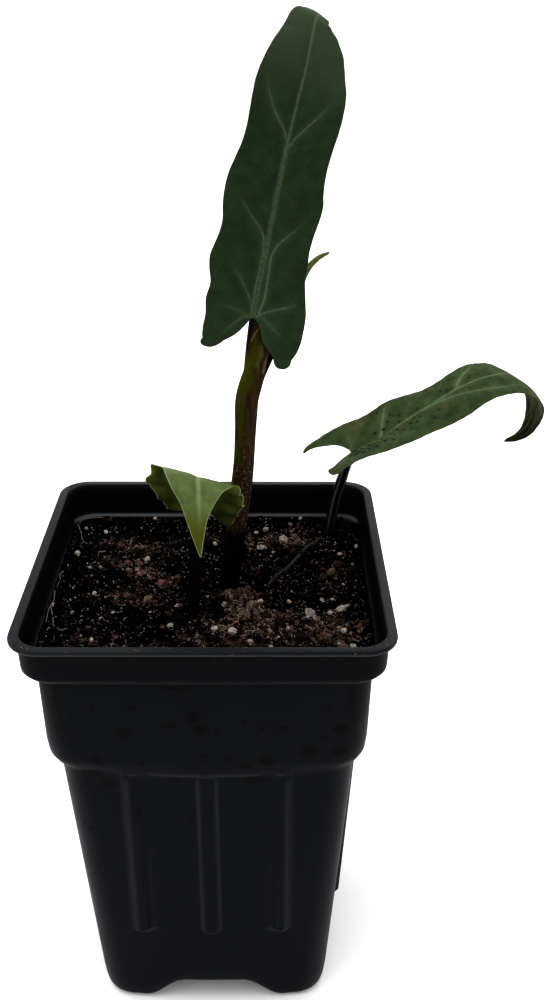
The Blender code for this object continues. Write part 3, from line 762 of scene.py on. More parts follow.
@dataclass
class Blade:
    """One arrow-shaped leaf blade, laid out along the curve of its midrib.

    The midrib runs from behind the lobes, through the point at index `attachment`, to the tip.
    Places along it are measured from the attachment, and are negative in the two lobes.
    """

    name: str
    node: str
    slot_name: str
    midrib: tuple[Point, ...]
    facing: Point
    roll: Knots
    right: HalfBlade
    left: HalfBlade
    wave_height: float
    wave_length: float
    rows: int
    columns: int
    midrib_width: float
    attachment: int = 1
    midrib_strength: float = 1.0
    midrib_start: float = 1.0
    quilting: float = 0.2
    crimp: float = 0.12
    crimp_length: float = 3.6
    crimp_until: float = 400.0
    thickness: float = 0.42
    edge_thickness: float = 0.12
    midrib_depth: float = 1.0
    # Width of the midrib's pale band along it, as a share of midrib_width
    midrib_taper: Knots = ((-1.2, 0.0), (0.0, 0.6), (8.0, 0.8), (25.0, 1.0), (50.0, 0.8), (92.0, 0.4))
    # How much darker the midrib's middle line is, and up to which place
    midrib_groove: tuple[float, float] = (0.0, 1.0)
    # Places between which the midrib's pale band fades
    midrib_fade: tuple[float, float] = (300.0, 301.0)
    # The share of the rows that the lobes take
    lobe_share: float = 0.16
    tip_from: float = 200.0
    tip_length: float = 14.0
    # How strongly the lobes take on the tip's colour too
    base_share: float = 0.0
    # Dark specks: place along, place to the right of the midrib, radius
    specks: Spots = ()
    # How deep the midrib lies, how wide its dark middle line is, and how high a side vein stands
    midrib_sink: float = 0.18
    midrib_line: float = 0.28
    vein_rise: float = 0.2
    # How much a side vein fades and narrows on its way out
    vein_fade: float = 0.85
    vein_narrowing: float = 0.4
    # How far in from the edge the blade flattens and crimps, and over what length the crimp fades
    edge_softness: float = 2.0
    crimp_reach: float = 2.2
    crimp_fade: float = 6.0
    # How much closer rows lie at the lobe's end and at the tip, and columns at both edges
    lobe_crowding: float = 1.6
    tip_crowding: float = 1.12
    edge_crowding: float = 0.45
    spine_steps: int = 400
    vein_steps: int = 31
    halo_width: float = 1.5
    # The wall's thickness is kept in this many steps
    wall_steps: int = 64

    def spine(self) -> Spine:
        """Carry the facing direction along the midrib without twist, then add the roll."""
        route = np.asarray(self.midrib, float)
        chord = lengths_along(route)
        at = np.linspace(0.0, chord[-1], self.spine_steps)
        points = hermite(at, chord, route)
        arc = lengths_along(points)
        start = int(np.argmin(np.abs(at - chord[self.attachment])))
        along = unit(np.gradient(points, arc, axis=0))
        facing = np.zeros_like(along)
        first = np.asarray(self.facing, float)
        facing[start] = unit(first - first.dot(along[start]) * along[start])
        for i in (*range(start + 1, len(arc)), *range(start - 1, -1, -1)):
            previous = facing[i - 1] if i > start else facing[i + 1]
            facing[i] = unit(previous - previous.dot(along[i]) * along[i])
        sideways = np.cross(along, facing)
        places = arc - arc[start]
        roll = np.radians(hermite(places, *zip(*self.roll)))[:, None]
        across = sideways * np.cos(roll) - facing * np.sin(roll)
        return Spine(places, points, across, facing * np.cos(roll) + sideways * np.sin(roll))

    def outline(self, half: HalfBlade, at: np.ndarray) -> tuple[np.ndarray, np.ndarray]:
        """Distance from the midrib to the inner and outer edge of one half.

        Args:
            half: The half blade.
            at: Places along the midrib.

        Returns:
            The inner and the outer distances, with the end of the lobe rounded.
        """
        inner = np.where(at < 0.0, hermite(at, *zip(*half.sinus)), 0.0)
        outer = np.maximum(hermite(at, *zip(*half.margin)), 0.0)
        inner = np.clip(inner, 0.0, outer)
        end = half.margin[0][0]
        depth = np.clip((at - end) / half.lobe_rounding, 0.0, 1.0)
        there = np.array([end + half.lobe_rounding])
        width = hermite(there, *zip(*half.margin)) - hermite(there, *zip(*half.sinus))
        rounded = 0.5 * width * np.sqrt(1.0 - (1.0 - depth) ** 2)
        middle = 0.5 * (inner + outer)
        near_end = depth < 1.0
        inner = np.where(near_end, np.maximum(middle - rounded, 0.0), inner)
        return inner, np.where(near_end, middle + rounded, outer)

    def vein_marks(
        self, half: HalfBlade, at: np.ndarray, out: np.ndarray
    ) -> tuple[np.ndarray, np.ndarray]:
        """Mark how strongly the side veins show at flat places.

        Args:
            half: The half blade.
            at: Places along the midrib.
            out: Distances from the midrib.

        Returns:
            The strength of the veins themselves and of their paler surround, from 0 to 1.
        """
        line_mark, halo = np.zeros(len(at)), np.zeros(len(at))
        for vein in half.veins:
            course = np.asarray(vein.course, float)
            chord = lengths_along(course)
            line = hermite(np.linspace(0.0, chord[-1], self.vein_steps + 1), chord, course)
            for i, (first, last) in enumerate(zip(line, line[1:])):
                away, t = from_segment(at, out, first, last)
                share = (i + t) / self.vein_steps
                power = vein.strength * (1.0 - self.vein_fade * smooth_step(share, 0.5, 1.0))
                width = vein.width * (1.0 - self.vein_narrowing * share)
                line_mark = np.maximum(line_mark, power * bell(away, width))
                halo = np.maximum(halo, power * bell(away, self.halo_width))
        return line_mark, halo

    def places_along(self, along: np.ndarray, start: float, tip: float) -> np.ndarray:
        """Places along the midrib from shares of the rows, closer together at both ends."""
        lobe = 1.0 - np.clip(along / self.lobe_share, 0.0, 1.0)
        body = np.clip((along - self.lobe_share) / (1.0 - self.lobe_share), 0.0, 1.0)
        in_lobe = start * (1.0 - (1.0 - lobe) ** self.lobe_crowding)
        in_body = tip * (1.0 - (1.0 - body) ** self.tip_crowding)
        at = np.where(along < self.lobe_share, in_lobe, in_body)
        return np.where(along <= 0.0, start, at)

    def half_grid(self, spine: Spine, half: HalfBlade, way: Way) -> Piece:
        """Shape one half of the blade as a grid, with the numbers that its finish reads.

        Args:
            spine: The midrib.
            half: Its curves.
            way: Its side.

        Returns:
            The grid, facing up.
        """
        sign = way.value
        marks: dict[str, np.ndarray] = {}

        def place(across: np.ndarray, along: np.ndarray) -> np.ndarray:
            """Set a point of the half blade by its shares of the way out and along."""
            share = across if sign > 0 else 1.0 - across
            at = self.places_along(along, half.margin[0][0], spine.places[-1])
            inner, outer = self.outline(half, at)
            outer = np.where(along >= 1.0, 0.0, outer)
            crowd = self.edge_crowding
            share = (1.0 - crowd) * share + crowd * (0.5 - 0.5 * np.cos(math.pi * share))
            out = inner + (outer - inner) * share
            angle = np.radians(hermite(at, *zip(*half.fold)))
            widest = max(distance for _, distance in half.margin)
            wave = self.wave_height * np.sin(math.tau * (at / self.wave_length + 0.25 * sign))
            lift = out * np.sin(angle) + wave * (out / widest) ** 2
            edge = np.maximum(outer - out, 0.0)
            vein, halo = self.vein_marks(half, at, out)
            soft = 1.0 - bell(edge, self.edge_softness)
            lift += self.quilting * (1.0 - halo) * smooth_step(out, 0.6, 3.0) * soft
            lift -= self.midrib_sink * bell(out, self.midrib_width) * (at > -0.5)
            ripple = np.sin(math.tau * (at / self.crimp_length + 0.3 * sign))
            ripple *= bell(edge, self.crimp_reach)
            crimped = 1.0 - smooth_step(at, self.crimp_until, self.crimp_until + self.crimp_fade)
            lift += self.crimp * ripple * crimped
            gap = np.minimum(edge, np.where(at < 0.0, np.maximum(out - inner, 0.0), 50.0))
            marks.update(vein=vein, halo=halo, edge_gap=gap, out=out, at=at)
            centre = spine.read(spine.points, at)
            side, face = spine.read(spine.sideways, at), spine.read(spine.facing, at)
            return centre + sign * side * (out * np.cos(angle))[:, None] + face * lift[:, None]

        grid = shaped_grid(f"{self.name}_{way.name.lower()}", self.columns, self.rows, place)
        self.mark(grid, marks, sign)
        return grid

    def mark(self, grid: Piece, marks: Mapping[str, np.ndarray], sign: int) -> None:
        """Store what the finish and the wall read.

        Args:
            grid: One half of the blade.
            marks: Its points' places along and out, and its vein, halo and edge numbers.
            sign: The sign of its side.
        """
        out, at, gap = marks["out"], marks["at"], marks["edge_gap"]
        taper = np.interp(at, *zip(*self.midrib_taper))
        rib = bell(out, np.maximum(self.midrib_width * taper, 0.05)) * smooth_step(at, -1.2, 0.5)
        start = self.midrib_start
        rib *= self.midrib_strength * np.interp(at, (0.0, 10.0, 18.0), (start, max(start, 0.5), 1.0))
        dark, until = self.midrib_groove
        rib *= 1.0 - dark * bell(out, self.midrib_line) * (1.0 - smooth_step(at, until - 6.0, until))
        rib *= 1.0 - smooth_step(at, *self.midrib_fade)
        ends = smooth_step(at, self.tip_from, self.tip_from + self.tip_length)
        speck = np.zeros(len(at))
        for spot_at, spot_out, radius in self.specks:
            away = np.hypot(at - spot_at, sign * out - spot_out)
            speck = np.maximum(speck, 1.0 - smooth_step(away, 0.5 * radius, radius))
        thick = self.thickness * smooth_step(gap + 0.15, 0.0, 1.2) + self.edge_thickness
        thick += self.vein_rise * marks["vein"] * smooth_step(gap, 0.5, 3.0)
        thick += self.midrib_depth * bell(out, self.midrib_width * 0.7) * taper
        for key, values in (
            ("vein", np.maximum(marks["vein"], rib)),
            ("halo", np.maximum(marks["halo"], rib)),
            ("edge_gap", gap),
            ("tip_share", np.maximum(ends, self.base_share * (1.0 - smooth_step(at, -4.0, 10.0)))),
            ("speck", speck),
            ("thick", thick),
        ):
            store(grid, key, values)
        store_uv(grid, np.stack((sign * out, at), axis=1))

    def build(self) -> Piece:
        """Shape both halves, merge them along the midrib and give the blade its thickness."""
        spine = self.spine()
        halves = ((self.right, Way.RIGHT), (self.left, Way.LEFT))
        blade = join(self.name, *(self.half_grid(spine, half, way) for half, way in halves))
        edit_all(blade, merge_doubles)
        thick = np.empty(len(blade.data.vertices), np.float32)
        blade.data.attributes["thick"].data.foreach_get("value", thick)
        most = float(thick.max())
        group = blade.vertex_groups.new(name="thick")
        for step in range(1, self.wall_steps + 1):
            chosen = np.nonzero(np.ceil(thick / most * self.wall_steps) == step)[0]
            if len(chosen):
                group.add(chosen.tolist(), step / self.wall_steps, "REPLACE")
        # The under side and the upper side have their own finish
        for _ in range(2):
            blade.data.materials.append(None)
        add_modifier(
            blade, "SOLIDIFY", thickness=most * MM, offset=-1.0, vertex_group="thick",
            material_offset=1, material_offset_rim=0,
        )
        apply_modifiers(blade)
        blade.vertex_groups.clear()
        return blade

    def dress(self, blade: Piece, skin: LeafSkin, back: LeafBack) -> None:
        """Finish the blade with its upper and its under skin."""
        finish_piece(blade, (skin.make(), back.make()), self.node)


TALL_BLADE = Blade(
    name="tall_blade",
    node="tall_leaf_blade",
    slot_name="tall_leaf",
    midrib=(
        (10.6, 3.6, 197), (12.7, 5, 209), (14.7, 7.4, 219), (16.7, 9.6, 229), (19.6, 12.4, 243.5),
        (23.1, 14.4, 259), (26.2, 15.6, 271), (27.6, 17, 277.5), (28.6, 19.4, 281.8), (30, 23.2, 282.5),
        (31.6, 27, 279.8), (32.8, 29.6, 275.6),
    ),
    facing=(0.05, -1, 0.1),
    roll=((-12, 0), (0, 0), (40, 0), (58, 4), (70, 16), (76, 24), (92, 28)),
    right=HalfBlade(
        sinus=((-12.5, 9.6), (-9, 6.5), (-5.5, 3.4), (-2, 2), (0, 0.5)),
        margin=(
            (-12.5, 9.8), (-11.4, 10.8), (-10, 11.9), (-8, 12.9), (-5, 13.6), (-1, 13.7), (3, 13.6),
            (8, 12.6), (12, 11.7), (15.5, 11.5), (20, 11.2), (24, 11.6), (28, 12.3), (31.5, 12.5),
            (35, 11.8), (40, 11.4), (46, 11.8), (51, 12.2), (56, 12), (60, 11.5), (64, 10.2), (68, 8.9),
            (70, 7.9), (72, 6.4), (74, 4.8), (76, 3.6), (80, 2.6), (84, 1.7), (87.5, 1), (90, 0),
        ),
        fold=((-12, 4), (0, 6), (40, 8), (64, 8), (72, 12), (80, 14), (92, 8)),
        veins=(
            Vein(((44, 0.3), (46.3, 1.4), (49.5, 3.5), (53.8, 6.4), (56.8, 7.9), (59.7, 8.7)), 0.7, 0.36),
            Vein(
                (
                    (0.6, 1), (5.3, 1.9), (12, 1.8), (17, 1.7), (19.2, 2.4), (21.8, 4.3), (24.9, 7),
                    (27.7, 9.1), (31.4, 11),
                ),
                0.8, 0.36,
            ),
            Vein(((0.6, 0.8), (1.6, 2.2), (2.9, 4.7), (4.2, 7.8), (5.7, 10.9), (7.1, 12.4)), 0.7, 0.4),
            Vein(((0.6, 1.6), (0.2, 2.9), (-1.4, 5.1), (-3, 7.6), (-4.4, 9.6)), 0.45, 0.6),
            Vein(((-1.6, 2.4), (-5.5, 4.1), (-9, 6.9)), 0.3, 0.45),
            Vein(((64, 0.3), (69, 3), (74, 4.6)), 0.2),
            Vein(((33, 0.4), (38, 5), (44, 8.8)), 0.16),
            Vein(((43, 0.6), (45, 4), (46, 8.4)), 0.3),
            Vein(((24, 0.6), (24, 4), (24, 8.4)), 0.12),
            Vein(((9, 1.6), (11, 5.4), (12, 9.2)), 0.2),
        ),
        lobe_rounding=2.8,
    ),
    left=HalfBlade(
        sinus=((-9.2, 11), (-7.6, 8), (-5.4, 4.6), (-2.4, 2), (0, 0.5)),
        margin=(
            (-9.2, 10.6), (-8.4, 11.8), (-6.8, 12.6), (-4.6, 12.9), (-1, 12.8), (3, 13.4), (7, 13),
            (11, 14), (14, 14.4), (17, 13.8), (20, 13.1), (23.5, 12.8), (27, 13.4), (31, 13.7),
            (35, 13.5), (39, 12.6), (43, 11.7), (47, 11.5), (51, 11.9), (55, 12.5), (59, 13), (63, 12.6),
            (67, 11.2), (71, 8.5), (75, 6.7), (80, 4.5), (85, 2.4), (90, 0),
        ),
        fold=((-12, 4), (0, 6), (40, 8), (69, 6), (76, -23), (92, -36)),
        veins=(
            Vein(
                ((45.5, 0.3), (47.7, 1.3), (50.9, 4.2), (54.5, 7.1), (58.2, 9.4), (63, 11.7)), 0.7, 0.36
            ),
            Vein(
                (
                    (1, 0.7), (4.7, 0.85), (12, 0.8), (18, 0.8), (21.1, 1.3), (26.1, 5.7), (31.5, 10.3),
                    (35.3, 12.8),
                ),
                0.75, 0.4,
            ),
            Vein(((2, 0.8), (4.8, 1.9), (7.5, 3.7), (11.6, 7.2), (13.4, 10.9)), 0.55, 0.36),
            Vein(((0, 0.5), (0.6, 2.1), (1.5, 4.9), (2, 8.7), (1.7, 12)), 0.4, 0.4),
            Vein(((0, 0.5), (0.3, 2), (-1.8, 4.6), (-4.9, 7.5), (-6.5, 9.9)), 0.45, 0.6),
            Vein(((34, 0.4), (41, 7.6), (48, 10.4)), 0.16),
            Vein(((46, 0.4), (48.4, 4.6), (49, 8.4)), 0.3),
            Vein(((28, 0.6), (29, 4.6), (29, 8.4)), 0.12),
            Vein(((62, 0.3), (68, 5.6), (73, 7.4)), 0.2),
        ),
        lobe_rounding=2.3,
    ),
    wave_height=0.8,
    wave_length=19.0,
    rows=400,
    columns=54,
    midrib_width=0.82,
    midrib_strength=0.7,
    # The paler, greyer tip colour over the top and, at this share, on the lobes is painted light and
    # sheen
    base_share=0.3,
    midrib_taper=(
        (-1.2, 0), (0, 0.7), (8, 0.75), (20, 1), (42, 0.95), (48, 0.68), (60, 0.62), (75, 0.5), (92, 0.3),
    ),
    midrib_groove=(0.3, 46.0),
    tip_from=42.0,
    tip_length=36.0,
)

# Dark specks on the arching blade: place along, place to the right of the midrib, radius
ARCHING_SPECKS = (
    (2, 3.4, 1), (3.4, 2.2, 0.9), (3, 5, 1.1), (5, 4.4, 0.8), (5.6, 1.6, 1.2), (7, 2.2, 0.8),
    (7.4, 4.6, 0.75), (0.6, 4.4, 1.1), (-1.2, 3.6, 0.9), (9.5, -2.4, 0.7), (12.2, -2, 0.95),
    (14.6, -3.8, 0.7), (15.6, 1.8, 0.7), (17.4, -0.8, 0.5), (20, 2.4, 0.7), (22, 3.4, 0.6),
    (23.6, 2.2, 0.55), (33.4, -3.4, 0.7), (35, -1.8, 0.6), (41.4, 2, 0.5), (42.6, -2.4, 0.55),
    (50.4, -4.6, 0.55), (13.8, -9.2, 0.65), (25.6, -4, 0.45), (57, 3, 0.55), (18.6, -3, 0.55),
    (16.4, -5.2, 0.5), (10.4, 3.6, 0.8), (12.6, 5.4, 0.65), (1, 1.4, 1.3), (27, 5.2, 0.45),
    (29.4, 3.4, 0.5), (37.6, -6, 0.5), (46, -2.4, 0.45), (24.4, -1.6, 0.4), (4.2, 3.3, 0.5),
    (6.3, 3.4, 0.45), (8.4, 1.2, 0.5), (8.8, 3.2, 0.45), (10, 1.8, 0.45), (11.4, 2.6, 0.5),
    (2.8, 1.2, 0.5), (12.8, 1, 0.4), (13.8, 3.4, 0.45), (15.2, 4.6, 0.4), (17.2, 3.6, 0.4), (19, 5, 0.4),
    (-0.4, 2.4, 0.6), (21.4, 1.2, 0.35), (26.2, 1.8, 0.35),
)

ARCHING_BLADE = Blade(
    name="arching_blade",
    node="arching_leaf_blade",
    slot_name="arching_leaf",
    midrib=(
        (29.2, 32.1, 151.7), (42.3, 34, 157.7), (51.2, 35.8, 161.6), (58.3, 37.6, 166.1),
        (66.5, 39.4, 170.9), (75.1, 41.2, 175.9), (84.6, 43, 179.2), (90.6, 45.4, 179.2),
        (95.8, 48.4, 176), (101.2, 50.6, 171), (102.8, 51.8, 164.4), (100.2, 51.6, 157.6),
        (93.2, 50, 153.8),
    ),
    facing=(-0.35, -0.28, 1),
    roll=((-12, 0), (0, 0), (20, 3), (40, 5), (60, 0), (100, 0)),
    right=HalfBlade(
        sinus=((-9, 6.4), (-6, 4.4), (-3, 2.2), (0, 0.4)),
        margin=(
            (-9, 6.2), (-8, 8.8), (-4, 10), (0, 9.4), (8, 9.3), (14, 9.8), (19, 10.3), (24, 10.3),
            (32, 10.4), (38, 10.5), (42, 10.1), (46, 9.6), (54, 9), (60, 8.6), (66, 8.7), (70, 8.6),
            (74, 7.1), (80, 4.9), (86, 3.3), (89, 2.5), (92, 0),
        ),
        fold=(
            (-9, 14), (0, 16), (7, 14), (12, 10), (18, 0), (22, -4), (26, -7), (32, -9), (40, -11),
            (48, -9), (60, -12), (92, -8),
        ),
        veins=(
            Vein(((2, 1.3), (9, 1.5), (12.3, 2.6), (18.3, 6.2), (26, 9)), 0.55),
            Vein(
                ((27, 0.1), (34.7, 1.7), (39.9, 3.2), (44.9, 4.7), (50.6, 5.9), (58, 4.6), (68, 1.6)),
                0.75,
            ),
            Vein(((0, 0.3), (-3, 3.8), (-7, 7.6)), 0.4, 0.7),
            Vein(((19, 0.2), (25, 4), (33, 7.6)), 0.15),
        ),
        lobe_rounding=1.9,
    ),
    left=HalfBlade(
        sinus=((-13.8, 8.8), (-10, 8.2), (-6.7, 6.9), (-2.4, 4.2), (0, 0.4)),
        margin=(
            (-13.8, 8.8), (-12.5, 10), (-8, 11.2), (-2, 12.5), (3, 12.4), (8, 11.6), (12, 11.2),
            (18, 11.4), (23, 11), (28, 9.9), (32, 9.2), (36, 8.9), (40, 9.4), (44, 9.7), (49, 9.6),
            (54, 8.7), (64, 7.5), (72, 5.8), (77, 5), (82, 3.2), (86, 1.8), (92, 0),
        ),
        fold=(
            (-14, 3), (-4, 7), (2, 8), (8, 5), (13, 5), (19, 4), (24, -3), (30, -12), (34, -13),
            (38, -10), (43, -6), (50, -9), (60, -12), (92, -8),
        ),
        veins=(
            Vein(((0.5, 0.2), (0.9, 2.3), (1.3, 6.8), (0.8, 11)), 0.45),
            Vein(((10, 0.2), (11.4, 1.6), (13.6, 5.1), (16.8, 9), (19.5, 11.6)), 0.95, 0.45),
            Vein(((37.5, 0.1), (40.8, 4.3), (44.2, 6.8), (48, 9.6)), 0.9, 0.4),
            Vein(((0, 0.3), (-5, 6.6), (-11, 9.9)), 0.4, 0.7),
            Vein(((22, 0.2), (27, 4.6), (32, 7.8)), 0.12),
            Vein(((56, 0.2), (63, 3.4), (70, 4.4)), 0.5),
        ),
        lobe_rounding=2.3,
    ),
    wave_height=0.5,
    wave_length=22.0,
    rows=350,
    columns=46,
    midrib_width=0.5,
    midrib_start=0.1,
    midrib_strength=0.85,
    midrib_groove=(0.2, 92.0),
    crimp=0.05,
    tip_from=76.0,
    tip_length=10.0,
    specks=ARCHING_SPECKS,
)

YOUNG_BLADE = Blade(
    name="young_blade",
    node="young_leaf_blade",
    slot_name="young_leaf",
    midrib=(
        (-2.4, 3.4, 149), (-2.4, -1.6, 156.6), (-2.3, -5.4, 163), (-2.2, -9.2, 168.4), (-2, -12.8, 171),
        (-1.8, -16.6, 169.6), (-1.5, -20.2, 164.5), (-1.3, -22.8, 158.5), (-1.1, -24.6, 152.8),
    ),
    facing=(-0.1, 0.8, 0.7),
    roll=((-8, -18), (0, -18), (10, -16), (18, -13), (26, -6), (42, 0)),
    right=HalfBlade(
        sinus=((-3.4, 6.8), (-2.6, 4.6), (-1.6, 2.4), (0, 0.4)),
        margin=(
            (-3.4, 7.2), (-2.8, 8.8), (-1.9, 9.6), (-0.9, 10.6), (0.6, 11), (2.2, 11.9), (4.2, 11.9),
            (5.4, 12.4), (6.6, 13.9), (8.6, 13.8), (10.2, 14.6), (11.4, 14.5), (12.6, 13.2), (14.4, 13.4),
            (15.4, 12.9), (16.4, 11.5), (17.4, 10.3), (18.8, 9.4), (20.4, 8.8), (22.5, 7.8), (26, 5.4),
            (31, 3.6), (36, 2), (42, 0),
        ),
        fold=((-8, -4), (0, -6), (8, -4), (16, 6), (42, 6)),
        veins=(
            Vein(((2, 0.3), (5, 6), (7, 12)), 0.5),
            Vein(((8, 0.3), (12, 6), (15, 11)), 0.4),
            Vein(((14, 0.3), (18, 5), (22, 7.5)), 0.12),
            Vein(((0, 0.3), (-2, 5), (-4, 9)), 0.5),
        ),
        lobe_rounding=1.3,
    ),
    left=HalfBlade(
        sinus=((-8.4, 6), (-5, 4), (-2.5, 2.2), (0, 0.4)),
        margin=(
            (-8.4, 6.4), (-7.4, 8.6), (-5.8, 9.6), (-4.1, 10), (-2.2, 10.8), (0.6, 11.2), (2.4, 12.2),
            (4.6, 12.9), (7, 12.8), (9.6, 13), (11.6, 12.4), (13, 11.4), (14.4, 11.6), (15.8, 12.2),
            (17.4, 12), (19.4, 10.6), (21.5, 8.8), (26, 5.2), (31, 2.4), (36, 1.2), (42, 0),
        ),
        fold=((-8, 4), (0, 2), (10, -8), (18, -10), (26, 2), (42, 6)),
        veins=(
            Vein(((2, 0.3), (5, 5), (7, 10)), 0.5),
            Vein(((8, 0.3), (12, 5), (16, 9.4)), 0.4),
            Vein(((14, 0.3), (18, 4.4), (22, 6.6)), 0.12),
            Vein(((0, 0.3), (-2, 4.6), (-4, 8)), 0.5),
        ),
        lobe_rounding=1.3,
    ),
    wave_height=0.9,
    wave_length=7.4,
    rows=220,
    columns=44,
    midrib_width=0.75,
    midrib_strength=0.8,
    midrib_fade=(24.0, 38.0),
    crimp=0.16,
    crimp_length=3.7,
    crimp_until=12.0,
    thickness=0.34,
    midrib_depth=0.6,
    lobe_share=0.18,
    tip_from=25.0,
    tip_length=12.0,
)


# Stems


@dataclass
class Stem:
    """A round stem: its route from the bottom up and its radius at each point."""

    name: str
    route: tuple[Point, ...]
    radii: tuple[float, ...]
    around: int = 40
    along: int = 160
    # Depth, heading in degrees and width in radians of a groove along the stem
    groove: float = 0.0
    groove_heading: float = -90.0
    groove_width: float = 0.5
    least_radius: float = 0.05
    # The share of the length over which an end is rounded
    least_cap: float = 0.004

    def centres(self, at: np.ndarray) -> tuple[np.ndarray, np.ndarray, np.ndarray]:
        """Middle points, directions along and radii at shares of the way up.

        Args:
            at: Shares of the way, from 0 to 1.

        Returns:
            Points, unit directions and radii.
        """
        route = np.asarray(self.route, float)
        chord = lengths_along(route)
        length = chord[-1]
        step = 0.002 * length
        ahead = hermite(np.minimum(at * length + step, length), chord, route)
        behind = hermite(np.maximum(at * length - step, 0.0), chord, route)
        radii = hermite(at * length, chord, np.asarray(self.radii, float))
        points = hermite(at * length, chord, route)
        return points, unit(ahead - behind), np.maximum(radii, self.least_radius)

    def build(self) -> Piece:
        """Sweep a closed tube with rounded ends along the route."""
        ends = 0.6 * max(self.radii[0], self.radii[-1]) / 100.0

        def place(across: np.ndarray, along: np.ndarray) -> np.ndarray:
            """Set a point of the tube by its shares of the way round and up."""
            middle, way, radius = self.centres(along)
            across_way = unit(np.cross(way, (0.0, -1.0, 0.0)))
            front = unit(np.cross(across_way, way))
            turn = across * math.tau
            heading = turn - math.radians(self.groove_heading + 90.0)
            swing = np.abs((heading + math.pi) % math.tau - math.pi)
            reach = radius - self.groove * bell(swing, self.groove_width)
            cap = np.clip(np.minimum(along, 1.0 - along) / max(ends, self.least_cap), 0.0, 1.0)
            reach = reach * np.sqrt(1.0 - (1.0 - cap) ** 2)
            ahead, aside = reach * np.cos(turn), reach * np.sin(turn)
            return middle + front * ahead[:, None] + across_way * aside[:, None]

        tube = shaped_grid(self.name, self.around, self.along, place)
        edit_all(tube, merge_doubles, face_outwards)
        return tube


TALL_PETIOLE = Stem(
    name="tall_petiole",
    route=(
        (1.6, -3, 108.3), (3.8, 1.4, 118), (5.3, 3.6, 129), (7.4, 4.2, 146), (9.5, 4.6, 163),
        (10.7, 5, 177), (12.2, 6, 192), (13.1, 7, 202), (13.5, 7.7, 208), (13.9, 8.3, 213),
        (14.2, 8.9, 217.5),
    ),
    radii=(2.6, 2.9, 3, 3, 3, 2.7, 2.4, 2.3, 1.9, 1.4, 0.7),
)
SHEATH = Stem(
    name="tall_sheath",
    route=(
        (8, 3.4, 146), (8.6, 3, 157), (9.4, 3, 168), (10, 3.1, 178), (11, 3.9, 187), (13.3, 5.4, 195),
        (15.1, 6.8, 202), (15.8, 7.5, 206.5),
    ),
    radii=(1, 2, 2.3, 2.5, 3.2, 2.9, 1.8, 0.5),
)
SPEAR = Stem(
    name="rolled_new_leaf",
    route=(
        (11.9, 5.7, 180), (12.8, 6.1, 186), (14.5, 6.7, 192), (17.4, 8, 198.5), (21.3, 10.6, 207),
        (25.2, 13.4, 216), (28.4, 14.8, 221.2), (30.6, 15.1, 223), (33.2, 15.2, 224.2),
    ),
    radii=(1.1, 1.25, 1.3, 1.3, 1.2, 1, 0.8, 0.65, 0.3),
    around=36,
    groove=0.3,
    groove_width=0.28,
)
ARCHING_PETIOLE = Stem(
    name="arching_petiole",
    route=(
        (33.6, 34, 107.3), (35.4, 37.2, 118), (36.7, 38.6, 128), (38.3, 38.4, 139), (40.6, 36.8, 149),
        (42.6, 34.6, 156.2),
    ),
    radii=(1.7, 1.8, 1.7, 1.65, 1.6, 1.1),
    groove=0.35,
    groove_width=0.45,
)
YOUNG_PETIOLE = Stem(
    name="young_petiole",
    route=(
        (-1.8, -8.6, 106.7), (-3.4, -12.4, 117), (-4.1, -13.8, 127), (-3.9, -11.6, 139),
        (-3.1, -6.6, 149), (-2.5, -2.6, 155.3),
    ),
    radii=(1.7, 1.8, 1.7, 1.6, 1.5, 1.2),
)


